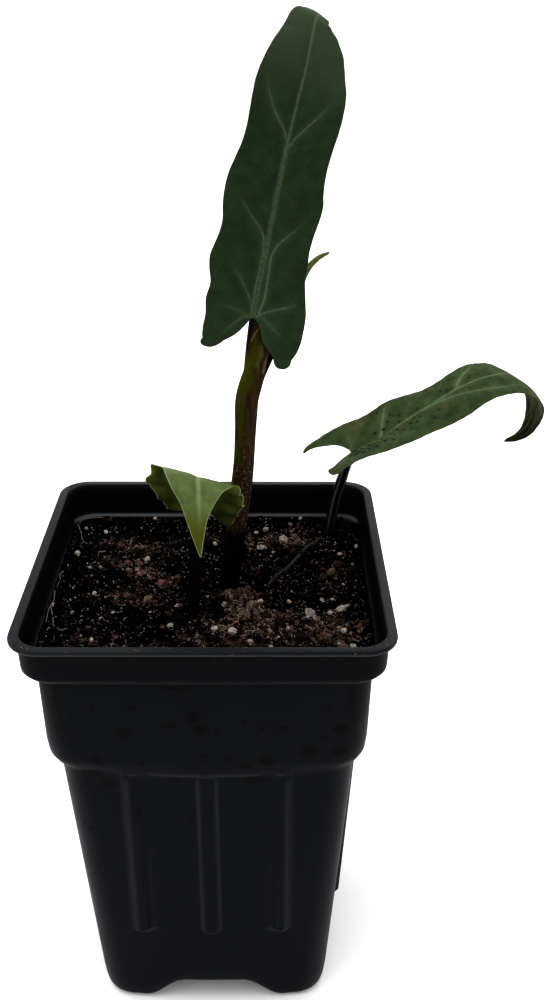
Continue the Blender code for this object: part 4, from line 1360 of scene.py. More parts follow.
@dataclass
class Stalks:
    """The three petioles with the tall leaf's sheath and the rolled new leaf."""

    dark: StalkSkin = StalkSkin("dark_petiole_skin_grown", "0d0a05", "3a2c1a", "7a6455")
    black: StalkSkin = StalkSkin(
        "black_petiole_skin_grown", "070708", "0f0f11", "2a2a2c", pale="5a5955", roughness=0.28,
        specular=0.4,
    )
    young: StalkSkin = StalkSkin(
        "young_petiole_skin_grown", "050506", "09090a", "141415", roughness=0.6, specular=0.04
    )
    rolled: StalkSkin = StalkSkin("rolled_leaf_skin_grown", "484e28", "7d8254", "b0b38a", olive="2b2018")
    # Marks on the sheath as seen from the front: kind, points across and up, half width, strength
    sheath_marks: tuple[tuple[str, Knots, float, float], ...] = (
        ("brown", ((15.8, 195.8), (14.2, 190.8), (12.5, 185.4), (11.7, 179.9), (11, 170.5)), 3, 0.9),
        ("olive", ((15.8, 205.9), (13.8, 200.7), (11.8, 195.8), (10.4, 190.4)), 2.1, 0.9),
        ("olive", ((10.8, 192), (9.4, 185), (8.9, 178), (8.2, 168)), 1.1, 1),
        ("olive", ((11.4, 197), (9.4, 190), (8.8, 184)), 1.6, 1),
        # The pale marks are the sheath's pale free edges, with painted highlights at its tip and on its
        # olive band
        ("pale", ((15, 201.4), (14.8, 199), (13.7, 196.6)), 0.6, 0.14),
        ("pale", ((15.4, 208.3), (14, 205.9), (12.5, 203.7), (11.5, 201.4)), 0.28, 0.4),
        ("pale", ((15.6, 208.8), (15, 207.6)), 0.5, 1),
        ("pale", ((17.3, 202.5), (16.9, 199.7), (15.9, 196.9), (15.3, 194.4)), 0.28, 0.4),
        # The dark marks are painted shade, black as in the gap between the sheath's right edge and the
        # leaf
        ("dark", ((12.2, 209.5), (11.8, 205.2), (11, 201)), 1.1, 1),
        ("dark", ((14.6, 206.5), (15.8, 204.4)), 0.8, 0.7),
        ("dark", ((19.6, 204), (19, 199.5), (18, 196), (16.9, 191)), 1.6, 1),
        ("dark", ((5.2, 163), (6.6, 168.5)), 1.5, 0.9),
    )
    # Size of the cells in which the tall petiole and its sheath are fused
    fused_cell: float = 0.3
    # Heights between which the tall stalk's marks, flecks and black foot change; the black foot is
    # painted shade
    marks_rise: tuple[float, float] = (146.0, 150.0)
    flecks_rise: tuple[float, float] = (143.0, 150.0)
    flecks_fade: tuple[float, float] = (166.0, 181.0)
    black_fade: tuple[float, float] = (144.0, 149.5)
    # Heights between which the arching stalk's glint rises and the spear's black and olive fade;
    # the spear's black and dark olive foot is painted shade inside the sheath
    glint_rise: tuple[float, float] = (124.0, 136.0)
    spear_black: tuple[float, float] = (197.0, 204.0)
    spear_olive: tuple[float, float] = (189.0, 195.0)

    def build_tall(self) -> Piece:
        """Fuse the tall petiole and its sheath into one grown body and mark its colours."""
        petiole = join("tall_petiole_and_sheath", TALL_PETIOLE.build(), SHEATH.build())
        add_modifier(petiole, "REMESH", mode="VOXEL", voxel_size=self.fused_cell * MM)
        add_modifier(petiole, "SMOOTH", factor=0.5, iterations=6)
        apply_modifiers(petiole)
        self.mark_tall(petiole)
        return petiole

    def mark_tall(self, petiole: Piece) -> None:
        """Mark the olive band, the brown streaks, the pale free edges, painted highlights, the flecked
        foot and painted shade.
        """
        points = points_of(petiole)
        across, height = points[:, 0], points[:, 2]
        marks = {key: np.zeros(len(points)) for key in ("brown", "olive", "pale", "dark")}
        ragged = np.array([noise.noise(Vector((x, y, z / 5.0)) * 1.6) for x, y, z in points]) * 0.6
        for kind, line, wide, power in self.sheath_marks:
            for first, last in zip(line, line[1:]):
                away, _ = from_segment(across, height, first, last)
                share = power * (1.0 - smooth_step(away + ragged * wide, 0.3 * wide, 1.2 * wide))
                marks[kind] = np.maximum(marks[kind], share)
        foot = smooth_step(height, *self.marks_rise)
        for key in ("brown", "olive", "pale"):
            store(petiole, key, marks[key] * (1.0 - marks["dark"]) * foot)
        upper = smooth_step(height, *self.flecks_fade)
        flecks = smooth_step(height, *self.flecks_rise) * (1.0 - upper) + 0.12 * upper
        store(petiole, "fleck", flecks)
        # Painted shade: the foot near the mix and the dark marks turn black
        black = 1.0 - smooth_step(height, *self.black_fade)
        store(petiole, "black", np.maximum(black, 0.8 * marks["dark"]))

    def plain(self, stem: Stem, fleck: float) -> Piece:
        """Build a stem that has one colour all along."""
        obj = stem.build()
        for key in ("olive", "brown", "pale", "black"):
            store(obj, key, 0.0)
        store(obj, "fleck", fleck)
        return obj

    def make(self) -> None:
        """Build and dress every stalk."""
        tall = self.build_tall()
        finish_piece(tall, (self.dark.make(),), "tall_leaf_petiole")
        arching = self.plain(ARCHING_PETIOLE, 0.2)
        points = points_of(arching)
        middle = np.interp(points[:, 2], *zip(*((z, x) for x, _, z in ARCHING_PETIOLE.route)))
        aside = (points[:, 0] - middle) / 1.7
        glint = np.maximum(bell(aside + 0.5, 0.15), 0.8 * bell(aside - 0.6, 0.13))
        store(arching, "pale", glint * smooth_step(points[:, 2], *self.glint_rise))
        finish_piece(arching, (self.black.make(),), "arching_leaf_petiole")
        young = self.plain(YOUNG_PETIOLE, 0.2)
        finish_piece(young, (self.young.make(),), "young_leaf_petiole")
        spear = self.plain(SPEAR, 0.4)
        height = points_of(spear)[:, 2]
        # Painted shade: the spear's foot inside the sheath is black, and dark olive further down
        store(spear, "black", 1.0 - smooth_step(height, *self.spear_black))
        store(spear, "olive", 1.0 - smooth_step(height, *self.spear_olive))
        finish_piece(spear, (self.rolled.make(),), "new_leaf_spear")


# Pot


@dataclass(frozen=True)
class Section:
    """One level of the pot's outside, as a rounded square with gently bowed sides."""

    height: float
    half_width: float
    corner_radius: float
    bow: float
    rib_rise: float = 0.0
    arch_height: float = -1.0
    corner_lift: float = 0.0

    def row(self) -> tuple[float, ...]:
        """The section as numbers: height, half width, radius, bow, rib, arch, lift and scale."""
        arch = 0.0 if self.arch_height < 0.0 else self.arch_height - self.height
        return (
            self.height, self.half_width, self.corner_radius, self.bow, self.rib_rise, arch,
            self.corner_lift, 1.0,
        )


HEIGHT, HALF, RADIUS, BOW, RIB, ARCH, LIFT, SCALE = range(8)

POT_SECTIONS = (
    Section(0, 26, 7, 0.5),
    Section(0, 33, 8.4, 1.9, arch_height=8),
    Section(0.5, 34.8, 8.8, 2.6, arch_height=8.2),
    Section(1.9, 35.8, 9, 2.9, arch_height=8.7),
    Section(4.6, 36.35, 9, 3.1, arch_height=9.8),
    Section(8.6, 36.8, 9, 3.2, arch_height=12.5),
    Section(31.2, 38.35, 9, 3.2, rib_rise=1.5),
    Section(33.4, 38.5, 9, 3.2, rib_rise=1.4),
    Section(92.2, 42.55, 9, 3.2, rib_rise=0.8),
    Section(94.6, 42.75, 9, 3, rib_rise=0.7, corner_lift=2),
    Section(96.2, 43.6, 9, 2, corner_lift=1.8),
    Section(99.4, 44.15, 9, 1, corner_lift=1),
    Section(104.5, 44.35, 9, 0.6),
    Section(127.5, 44.8, 9, 0.3),
    Section(128.1, 46.9, 8.6, 0.2),
    Section(129.8, 47.85, 8.2, 0.1),
    Section(139.15, 48.1, 8, 0),
    Section(139.15, 49.15, 8, 0),
    Section(138.6, 49.15, 8, 0),
)


@dataclass
class Pot:
    """The deep square nursery pot: one closed shell, with ribs, base arches and drain slots."""

    wall: float = 0.85
    rib_places: tuple[float, ...] = (-21.0, 0.0, 21.0)
    rib_top: float = 1.9
    rib_foot: float = 3.0
    rib_bottom: float = 31.4
    arch_flat: float = 9.0
    arch_foot: float = 22.0
    widest_station: float = 24.0
    # Where the even stations end on the way to a corner
    last_station: float = 24.5
    spread: float = 0.94
    edge_rounding: float = 0.42
    # Step of the fine profile, before its rows are chosen
    fine_step: float = 0.1
    # Share of the profile's length that is outside
    outside_share: float = 0.52
    ledge_height: float = 129.6
    # Heights where a painted highlight shows: the rim's turn and front line, the collar's foot, the step,
    # the ledge inside and the lip, with the lip's half width
    rim_turn: tuple[float, float] = (138.2, 139.1)
    rim_line: float = 138.6
    collar_foot: float = 128.1
    step_height: float = 95.3
    ledge_highlight: float = 129.3
    lip_height: float = 138.9
    lip_half: float = 49.15
    slot_size: tuple[float, float, float] = (9.0, 3.6, 16.0)
    slot_rounding: float = 1.2
    slot_from_centre: float = 30.6
    slot_height: float = 6.0
    finish: MouldedPolypropylene = MouldedPolypropylene()
    # Water marks on the other sides: side, place across, height, half length, half height
    wet_marks: tuple[tuple[int, float, float, float, float], ...] = (
        (1, -20, 112, 2.2, 1.6), (1, 8, 108, 1.8, 2.2), (3, 12, 111, 1.8, 1.6), (2, 4, 113, 2.4, 1.4),
        (2, -18, 103, 1.6, 1.6),
    )

    def profile(self) -> np.ndarray:
        """The shell's rows: out over the base, up the outside, over the rim and down inside."""
        outer = np.array([section.row() for section in POT_SECTIONS])
        middle = outer[:1].copy()
        middle[0, SCALE] = 0.0
        outer = np.vstack((middle, outer))
        flat = np.stack((outer[:, HALF] * outer[:, SCALE], outer[:, HEIGHT]), axis=1)
        ways = unit(np.diff(flat, axis=0))
        ways = np.vstack((ways[:1], ways, ways[-1:]))
        normals = np.stack((-ways[:, 1], ways[:, 0]), axis=1)
        before, after = normals[:-1], normals[1:]
        push = (before + after) / (1.0 + (before * after).sum(axis=1))[:, None] * self.wall
        inner = outer.copy()
        inner[:, HALF] += push[:, 0]
        inner[:, RADIUS] += push[:, 0]
        inner[:, HEIGHT] += push[:, 1]
        inner[0, HALF] = outer[0, HALF] + push[1, 0]
        loop = np.vstack((outer, inner[::-1]))
        arc = lengths_along(np.stack((loop[:, HALF] * loop[:, SCALE], loop[:, HEIGHT]), axis=1))
        fine = np.linspace(0.0, arc[-1], int(arc[-1] / self.fine_step))
        dense = self.soften(read_rows(fine, arc, loop))
        count = self.row_count(fine, dense)
        order = np.arange(len(fine))
        chosen = np.interp(np.linspace(0.0, count[-1], int(count[-1]) + 1), count, order)
        return read_rows(chosen, order, dense)

    def soften(self, dense: np.ndarray) -> np.ndarray:
        """Round the profile's corners by averaging along it."""
        reach = int(3 * self.edge_rounding / self.fine_step)
        kernel = bell(np.arange(-reach, reach + 1) * self.fine_step, self.edge_rounding)
        kernel /= kernel.sum()
        padded = np.pad(dense, ((reach, reach), (0, 0)), mode="edge")
        dense = np.stack([np.convolve(column, kernel, "valid") for column in padded.T], axis=1)
        dense[0, SCALE] = dense[-1, SCALE] = 0.0
        return dense

    def row_count(self, fine: np.ndarray, dense: np.ndarray) -> np.ndarray:
        """Count the rows wanted up to each fine place: more at turns, rib feet and the ledge.

        Args:
            fine: Lengths along the profile.
            dense: The profile's rows there.

        Returns:
            The running count.
        """
        flat = np.stack((dense[:, HALF] * dense[:, SCALE], dense[:, HEIGHT]), axis=1)
        way = np.unwrap(np.arctan2(*np.gradient(flat, axis=0).T))
        outside = fine < fine[-1] * self.outside_share
        step = self.fine_step
        weight = np.where(outside, step / 1.5, step / 5.0) + 3.4 * np.abs(np.gradient(way))
        near_foot = outside & (np.abs(dense[:, HEIGHT] - self.rib_bottom - 1.2) < 3.0)
        weight += np.where(near_foot, step / 0.5, 0.0)
        near_ledge = ~outside & (np.abs(dense[:, HEIGHT] - self.ledge_height) < 2.2)
        weight += np.where(near_ledge, step / 0.35, 0.0)
        return np.concatenate(([0.0], np.cumsum(weight[1:])))

    def stations(self) -> np.ndarray:
        """Places across a side, closer together at the ribs, with the corner's steps after them.

        Returns:
            Rows of station in millimetres, share of the way to the corner, and corner angle.
        """
        reaches = (0.0, 1.2, 1.8, 2.1, 2.4, 2.7, 3.0, 3.5)
        places = {rib + side * reach for rib in self.rib_places for reach in reaches for side in (-1, 1)}
        places |= {side * fill for fill in (5.4, 7.5, 9.4, 11.5, 13.6, 15.6) for side in (-1, 1)}
        shares = (0.33, 0.66, 1.0)
        rows = [(0.0, -share, -1.0) for share in reversed(shares)]
        rows += [(place, 0.0, -1.0) for place in sorted(places)]
        rows += [(0.0, share, -1.0) for share in shares]
        rows += [(0.0, 1.0, 90.0 * step / 10.0) for step in range(1, 10)]
        return np.array(rows)

    def skin(self, rows: np.ndarray, ribs: bool = True) -> Callable:
        """Make the rule that sets a grid's points round and up the pot.

        Args:
            rows: The profile's rows.
            ribs: Whether the ribs are raised.

        Returns:
            The rule for shaped_grid, for as many columns as four sides of stations.
        """
        stations = self.stations()
        count = 4 * len(stations)

        def place(across: np.ndarray, along: np.ndarray) -> np.ndarray:
            """Set a point by its share of the way round and along the profile."""
            column = np.round(across * count).astype(int) % count
            quarter, local = column // len(stations), column % len(stations)
            station, share, angle = stations[local].T
            row = rows[np.round(along * (len(rows) - 1)).astype(int)]
            half, radius = row[:, HALF], np.maximum(row[:, RADIUS], 2.0)
            straight = half - radius
            for _ in range(8):
                straight = half - row[:, BOW] * (straight / half) ** 2 - radius
            spread = np.minimum(1.0, self.spread * straight / self.widest_station)
            end = self.last_station * spread
            beyond = np.sign(share) * (end + np.abs(share) * (straight - end))
            x = np.where(share != 0.0, beyond, station * spread)
            station = x / spread
            out = half - row[:, BOW] * (x / half) ** 2
            if ribs:
                below = np.maximum(self.rib_bottom + self.rib_foot - row[:, HEIGHT], 0.0)
                for rib in self.rib_places:
                    away = np.hypot(station - rib, below)
                    raised = 1.0 - smooth_step(away, self.rib_top - 0.3, self.rib_foot + 0.1)
                    out += row[:, RIB] * raised
            arch = 1.0 - smooth_step(np.abs(station), self.arch_flat, self.arch_foot)
            height = row[:, HEIGHT] + row[:, ARCH] * arch + row[:, LIFT] * (x / half) ** 2
            corner = angle > 0.0
            turn = np.radians(angle - 90.0)
            x = np.where(corner, straight + radius * np.cos(turn), x)
            y = np.where(corner, -straight + radius * np.sin(turn), -out)
            height = np.where(corner, row[:, HEIGHT] + row[:, LIFT] * (straight / half) ** 2, height)
            flat = turned(x * row[:, SCALE], y * row[:, SCALE], quarter * math.pi / 2.0)
            return np.stack((*flat, height), axis=1)

        return place

    def slot_cutter(self, quarter: int) -> Piece:
        """A rounded block that cuts one drain slot through a base arch."""
        deselect_all()
        bpy.ops.mesh.primitive_cube_add(size=1.0)
        cutter = bpy.context.object
        set_points(cutter, points_of(cutter) * MM * self.slot_size)
        add_modifier(cutter, "BEVEL", width=self.slot_rounding * MM, segments=4)
        apply_modifiers(cutter)
        x, y, height = (points_of(cutter) + (0.0, -self.slot_from_centre, self.slot_height)).T
        set_points(cutter, np.stack((*turned(x, y, quarter * math.pi / 2.0), height), axis=1))
        return cutter

    def inner_half(self, height: np.ndarray) -> np.ndarray:
        """Half width halfway through the wall at a height, to tell its two sides apart."""
        levels, halves = zip(*((section.height, section.half_width) for section in POT_SECTIONS[1:17]))
        return np.interp(height, levels, np.array(halves) - 0.5 * self.wall)

    def seen_from(self, quarter: int, points: np.ndarray) -> tuple[np.ndarray, np.ndarray]:
        """Places across one side of the pot and out from its middle."""
        across, towards = turned(points[:, 0], points[:, 1], -quarter * math.pi / 2.0)
        return across, -towards

    def mark(self, pot: Piece) -> None:
        """Mark the wet spots, the painted shade inside and on the collar, the highlights and the rim's
        dust.
        """
        points = points_of(pot)
        x, y, height = points.T
        wet = np.zeros(len(points))
        for quarter, middle, level, wide, tall in self.wet_marks:
            across, out = self.seen_from(quarter, points)
            away = np.hypot((across - middle) / wide, (height - level) / tall)
            away += 0.35 * np.sin(across * 1.7 + height * 2.3)
            wet = np.maximum(wet, (1.0 - smooth_step(away, 0.7, 1.25)) * (out > 30.0))
        reach = np.maximum(np.abs(x), np.abs(y))
        inner = (reach < self.inner_half(height)) & (height > 60.0)
        # Painted shade: the inside walls darker up to just under the rim, and the collar darker under the
        # flange
        darkening = 0.9 * inner * smooth_step(height, 100.0, 126.0) * (1.0 - smooth_step(height, 135.5, 139.0))
        collar_shade = 0.45 * smooth_step(height, 128.3, 129.6) * (1.0 - smooth_step(height, 136.5, 138.4))
        store(pot, "wet", np.maximum(wet, np.maximum(darkening, collar_shade * ~inner)))
        store(pot, "rubbed", np.where(inner, self.inner_highlight(points), self.outer_highlight(points)))
        corner = bell(np.hypot(x + 44.0, y - 40.0), 22.0)
        right = bell(np.hypot(x - 48.0, y + 26.0), 22.0)
        dust = smooth_step(height, 135.0, 139.4) * np.clip(corner + bell(y + 49.0, 3.0) + right, 0.0, 1.0)
        store(pot, "dust", np.maximum(dust, 0.7 * corner * inner * smooth_step(height, 128.0, 131.0)))

    def inner_highlight(self, points: np.ndarray) -> np.ndarray:
        """Painted highlights inside: a thin line at the ledge and a paler turn of the rim."""
        _, y, height = points.T
        ledge = 3.0 * bell(height - self.ledge_highlight, 0.4) * smooth_step(y, 40.0, 43.0)
        return np.maximum(ledge, 0.3 * smooth_step(height, *self.rim_turn))

    def outer_highlight(self, points: np.ndarray) -> np.ndarray:
        """Painted highlights outside: the rim, the collar's foot, the lip, the step and the ribs."""
        x, y, height = points.T
        front = 1.0 - smooth_step(y, -49.0, -45.0)
        share = 0.54 - front * (0.14 + 0.26 * smooth_step(x, -25.0, 15.0))
        share += 0.5 * smooth_step(y, 30.0, 48.0)
        lip = np.maximum(np.abs(x), np.abs(y))
        # Painted highlights: the rim top, paler at the back, and lines along the rim's front, the
        # collar's foot and the lip
        highlight_lines = [
            share * smooth_step(height, *self.rim_turn),
            2.2 * front * bell(height - self.rim_line, 0.45),
            0.8 * bell(height - self.collar_foot, 0.45),
            1.3 * bell(lip - self.lip_half, 0.35) * bell(height - self.lip_height, 0.5),
        ]
        for quarter in range(4):
            across, out = self.seen_from(quarter, points)
            side = smooth_step(out, 30.0, 33.0) * (out > np.abs(across) - 4.0)
            # Painted highlight lines along the step and the ribs' flanks, stronger on a rib's outer flank
            highlight_lines.append(0.75 * bell(height - self.step_height - 2.0 * (across / 43.0) ** 2, 0.55) * side)
            below = np.maximum(self.rib_bottom + self.rib_foot - height, 0.0)
            for rib in self.rib_places:
                away = np.hypot(across - rib * self.spread, below)
                flank = bell(away - 2.6, 0.5) * (1.0 - smooth_step(height, 92.0, 94.5))
                outwards = np.where((across - rib) * rib > -0.1, 0.5, 0.15)
                highlight_lines.append(flank * np.where(below > 1.0, 0.6, outwards) * side)
        return np.maximum.reduce(highlight_lines)

    def build(self) -> Piece:
        """Shape the shell, close it and cut its drain slots."""
        rows = self.profile()
        pot = shaped_grid("nursery_pot", 4 * len(self.stations()), len(rows) - 1, self.skin(rows))
        edit_all(pot, merge_doubles, face_outwards)
        for quarter in range(4):
            cutter = self.slot_cutter(quarter)
            add_modifier(pot, "BOOLEAN", operation="DIFFERENCE", solver="EXACT", object=cutter)
            apply_modifiers(pot)
            bpy.data.objects.remove(cutter)
        return pot

    def make(self) -> None:
        """Build and dress the pot."""
        pot = self.build()
        self.mark(pot)
        finish_piece(pot, (self.finish.make(),), "pot", smooth_angle=50.0)


# Potting mix


@dataclass(frozen=True)
class Strewn:
    """One kind of loose grain strewn over the mix."""

    name: str
    count: int
    least: float
    most: float
    seed: int
    # How strongly it keeps to the rusty lumps, and how deep it sits as a share of its size
    gather: float
    sink: float
    # Grains that lie at a fixed place: x, y, size
    fixed: Spots = ()
    # Whether it is torn to fibres rather than broken to grains
    torn: bool = False
    lean: float = 180.0
    flat: float = 1.0
    # How many times a round grain's faces are split
    splits: int = 1
    tones: tuple[float, float] = (0.1, 0.95)
    # How much darker it is away from the rusty lumps
    rusty: float = 0.0


@dataclass
class PottingMix:
    """The potting mix: one closed body, a lumpy crust and the grains and fibres strewn on it."""

    level: float = 127.2
    edge_level: float = 129.3
    edge_half: float = 46.1
    body_half: float = 43.4
    edge_radius: float = 7.4
    clearance: float = 1.6
    floor_below: float = 8.0
    crust_cells: int = 150
    crust_depth: float = 2.6
    # How much narrower the crust's underside is
    crust_taper: float = 0.92
    # How many shapes of each kind are modelled, of grains and of fibres
    shapes_each: int = 6
    fibres_each: int = 10
    fibre_radii: tuple[float, ...] = (0.026, 0.034, 0.036, 0.034, 0.028, 0.014)
    # Layers of noise: height, size across, seed
    clod_layers: Spots = ((1.5, 9.0, 3.7), (1.0, 4.2, 8.1))
    crumb_layers: Spots = ((1.0, 3.1, 21.0), (0.7, 1.4, 33.0), (0.3, 0.7, 5.0))
    patch_layers: Spots = ((1.6, 5.5, 61.0), (1.1, 2.4, 77.0))
    # The mounds die out over this width from this far out, and end this far under the edge level
    wall_from: float = 40.3
    wall_width: float = 5.0
    wall_dip: float = 0.7
    # Grains lie this far out, and round a corner this far from where it starts
    strewn_half: float = 45.0
    corner_from: float = 38.0
    corner_reach: float = 7.0
    # The higher, the rarer a kind's big grains are
    size_bias: float = 2.2
    # Along the wall the crust is at least this high, from this far out
    edge_floor: float = 128.7
    edge_from: float = 43.5
    # Mounds and hollows: x, y, height, spread
    forms: tuple[tuple[float, float, float, float], ...] = (
        (8, -14, 2.6, 15), (-24, 10, 1.4, 14), (22, 30, 1.2, 12), (-6, 2, -1.2, 8), (26, 8, -1, 10),
    )
    # Rusty fibrous lumps: x, y, half length, half width, heading in degrees, weight
    lumps: tuple[tuple[float, float, float, float, float, float], ...] = (
        (12, -21, 14, 10, 0, 1), (9, -4, 6, 8, 20, 0.9), (20, 30, 12, 5, 0, 0.9),
        (-20, 10, 11, 3.6, -20, 0.9), (-25, 24, 12, 8, -10, 0.6), (-22, -4, 10, 5, 0, 0.7),
        (34, -22, 9, 8, 0, 0.8), (36, 10, 5, 9, 0, 0.4), (-30, -26, 9, 7, 0, 0.35),
        (-6, -30, 9, 6, 0, 0.5), (2, 34, 10, 4, 0, 0.5),
    )
    strand_route: Knots = (
        (33.6, 35.4), (31.9, 30.6), (29, 25.6), (26.4, 20.8), (23.3, 16.2), (20.7, 12), (18.2, 7),
        (16.6, 3.4),
    )
    strand_radii: tuple[float, ...] = (0.45, 0.6, 0.6, 0.55, 0.5, 0.45, 0.4, 0.3)
    # Pale root filaments by the left wall: each a course across and back
    filaments: tuple[Knots, ...] = (
        ((-45, 40.7), (-43.3, 35.9), (-41.4, 31.8), (-39.5, 31.8)),
        ((-44.7, 10.2), (-45.4, 7.8), (-44.8, 4.9), (-45.2, 0.8)),
        ((-45.4, -1.4), (-44.8, -7), (-45.2, -12.4), (-45, -18.7)),
        ((-45, -10.2), (-43.6, -15.6), (-42, -20.2), (-40.3, -20.7), (-38.8, -19.7)),
        ((-44.3, 40.7), (-43.9, 43.6), (-41.2, 44.9), (-37.4, 45.2)),
        ((-36.5, 23), (-34, 24.2), (-31.6, 23)),
        ((27, -10), (31, -8.5), (35, -9.5)),
    )
    # The big perlite grains: x, y, size
    big_grains: Spots = (
        (28.8, -15.3, 4), (-20.1, 16.8, 2.2), (-35.3, 36.4, 1.7), (0.1, 28.7, 1.6), (14.6, 25.4, 1.9),
        (-27.5, -10.2, 1.4), (-34.1, -0.5, 1.5), (-30.1, -15.5, 1.7), (-9.2, -8.3, 1.9),
        (-10.5, -18.9, 2), (4.4, -9.4, 2.3), (14.4, -8.8, 2.1), (34.2, -14.2, 1.7), (37.5, -11, 2.4),
        (37.7, -20.7, 1.9), (35.4, -4.7, 1.4), (32.6, -2.8, 1.4), (2.1, -22.5, 1.9), (7, -23.2, 2.4),
        (11.8, -27, 1.8), (17.5, -29.9, 1.5), (40, -28.2, 2.3), (-42.3, 22.2, 2.2), (-20.1, 44.4, 1.5),
        (27.4, 44.8, 1.3), (44.4, 25.4, 1.4), (-41.8, 38, 1.3),
    )
    # The tan chips: x, y, size
    tan_chips: Spots = (
        (21.8, 29.7, 3.4), (16.1, 37.9, 2.2), (13, 36.6, 1.4), (22.8, -6.1, 1.8), (39.1, 22.2, 1.6),
        (22.1, -20.7, 1.7),
    )
    # The reddish chips in the left middle: x, y, size
    red_chips: Spots = (
        (-15.3, 5.3, 2.6), (-21.6, 8.5, 1.8), (-10.4, 8.9, 2), (-18.6, 7.2, 1.6), (-12.6, 6.6, 1.6),
        (-24.6, 8.8, 1.5), (-13.4, 4, 1.5), (-22, 14.2, 1.3), (-26, 15.6, 1.4), (-8.2, -10.4, 1.6),
        (-12.6, -20.6, 1.7), (-29.6, 26.6, 1.5), (-33, 30.4, 1.4), (-26.4, 30.6, 1.3), (7.6, -20, 1.6),
        (14.8, -24.6, 1.5), (27, -24.4, 1.7), (33.4, -22.6, 1.5), (24.6, 36.8, 1.4), (12, -6.6, 1.5),
        (-4.2, 33.4, 1.3),
    )
    # The biggest fibrous clods, in the lumps: x, y, size
    big_clods: Spots = (
        (8, -6, 3.2), (12, -10, 3.6), (16, -16, 3.4), (10, -17, 3.8), (4.6, -19, 3.2), (20, -20, 3.4),
        (26, -26, 3.6), (32, -25, 3.2), (36, -18, 3), (29, -19.5, 2.8), (14.6, -29, 3.4), (9.4, -29.6, 3),
        (22, -31, 3.2), (37, -31, 3), (11, -2, 2.8), (-18, -3.6, 3), (-22.4, -6, 2.8), (-14, 9.6, 2.6),
        (-24, 22, 3), (18, 31.6, 3.2), (25.4, 33, 3), (36, 12, 2.8), (38, 16.6, 2.6), (-30, 29, 2.6),
        (6, -34, 3), (30.6, -35, 3),
    )
    peat: MoistPeat = MoistPeat()
    crumb_finish: LooseGrain = LooseGrain("peat_crumbs_blended", "020201", "18100e", "493029", 0.4)
    clod_finish: LooseGrain = LooseGrain("peat_clods_broken", "0a0706", "382a23", "857064", 0.5, 0.8)
    chip_finish: LooseGrain = LooseGrain("bark_chips_broken", "0b0908", "2f2521", "66564f", 0.5)
    coir_finish: LooseGrain = LooseGrain("coir_fibres_torn", "17120f", "52433a", "9c8b80", 0.6, 0.2)
    perlite_finish: LooseGrain = LooseGrain("perlite_expanded", "2b2926", "67615c", "a39b93", 0.6, 0.8)
    tan_finish: LooseGrain = LooseGrain("tan_wood_chips_broken", "443a35", "81736b", "aba098", 0.6, 0.6)
    red_finish: LooseGrain = LooseGrain("red_bark_chips_broken", "1a1110", "4a3631", "7c655e", 0.5, 0.6)
    root_finish: LooseGrain = LooseGrain("dry_root_fibres_grown", "161714", "2b2d28", "55564c", 0.5, 0.4)
    filament_finish: LooseGrain = LooseGrain("pale_roots_grown", "3b3936", "6b6863", "8e8a84", 0.5, 0.2)

    def rough(self, x: float, y: float, layers: Spots) -> float:
        """Add up layers of noise at a place: each a height, a size across and a seed."""
        return sum(rise * noise.noise(Vector((x / size, y / size, seed))) for rise, size, seed in layers)

    def base_height(self, x: float, y: float) -> float:
        """Height of the mix with its mounds and its clods, as the solid has it."""
        height = self.level
        for cx, cy, rise, spread in self.forms:
            height += rise * math.exp(-((x - cx) ** 2 + (y - cy) ** 2) / spread**2)
        return height + self.rough(x, y, self.clod_layers)

    def height(self, x: float, y: float) -> float:
        """Height of the crust, with its small clods and crumbs."""
        edge = max(abs(x), abs(y))
        low = min(max((edge - self.wall_from) / self.wall_width, 0.0), 1.0)
        rise = self.base_height(x, y) * (1.0 - low) + (self.edge_level - self.wall_dip) * low
        rise += self.rough(x, y, self.crumb_layers)
        return max(rise, self.edge_floor) if edge > self.edge_from else rise

    def richness(self, x: np.ndarray, y: np.ndarray) -> np.ndarray:
        """How rusty and fibrous the mix is at a place, from 0 to 1."""
        rich = np.full(np.shape(x), 0.05)
        for cx, cy, long, wide, heading, weight in self.lumps:
            ahead, aside = turned(np.asarray(x) - cx, np.asarray(y) - cy, -math.radians(heading))
            rich = rich + weight * np.exp(-((ahead / long) ** 2 + (aside / wide) ** 2) ** 1.5)
        return np.clip(rich, 0.0, 1.0)

    def patchiness(self, x: float, y: float) -> float:
        """How closely grains lie at a place, from 0 in the black hollows to 1."""
        return min(max(0.55 + self.rough(x, y, self.patch_layers), 0.0), 1.0)

    def to_square(self, across: np.ndarray, along: np.ndarray) -> np.ndarray:
        """Carry a square grid to the crust's rounded square, corner to corner."""
        u, v = 2.0 * across - 1.0, 2.0 * along - 1.0
        reach = np.maximum(np.maximum(np.abs(u), np.abs(v)), 1e-9)
        flat = np.stack((u, v), axis=1) / reach[:, None] * self.edge_half
        corner = self.edge_half - self.edge_radius
        over = np.abs(flat) - corner
        rounded = (over > 0.0).all(axis=1)
        pushed = np.sign(flat) * (corner + self.edge_radius * unit(np.maximum(over, 1e-9)))
        return np.where(rounded[:, None], pushed, flat) * reach[:, None]

    def mark_rich(self, obj: Piece) -> Piece:
        """Store how rusty the mix is at each point."""
        places = points_of(obj)
        store(obj, "rich", self.richness(places[:, 0], places[:, 1]))
        return obj

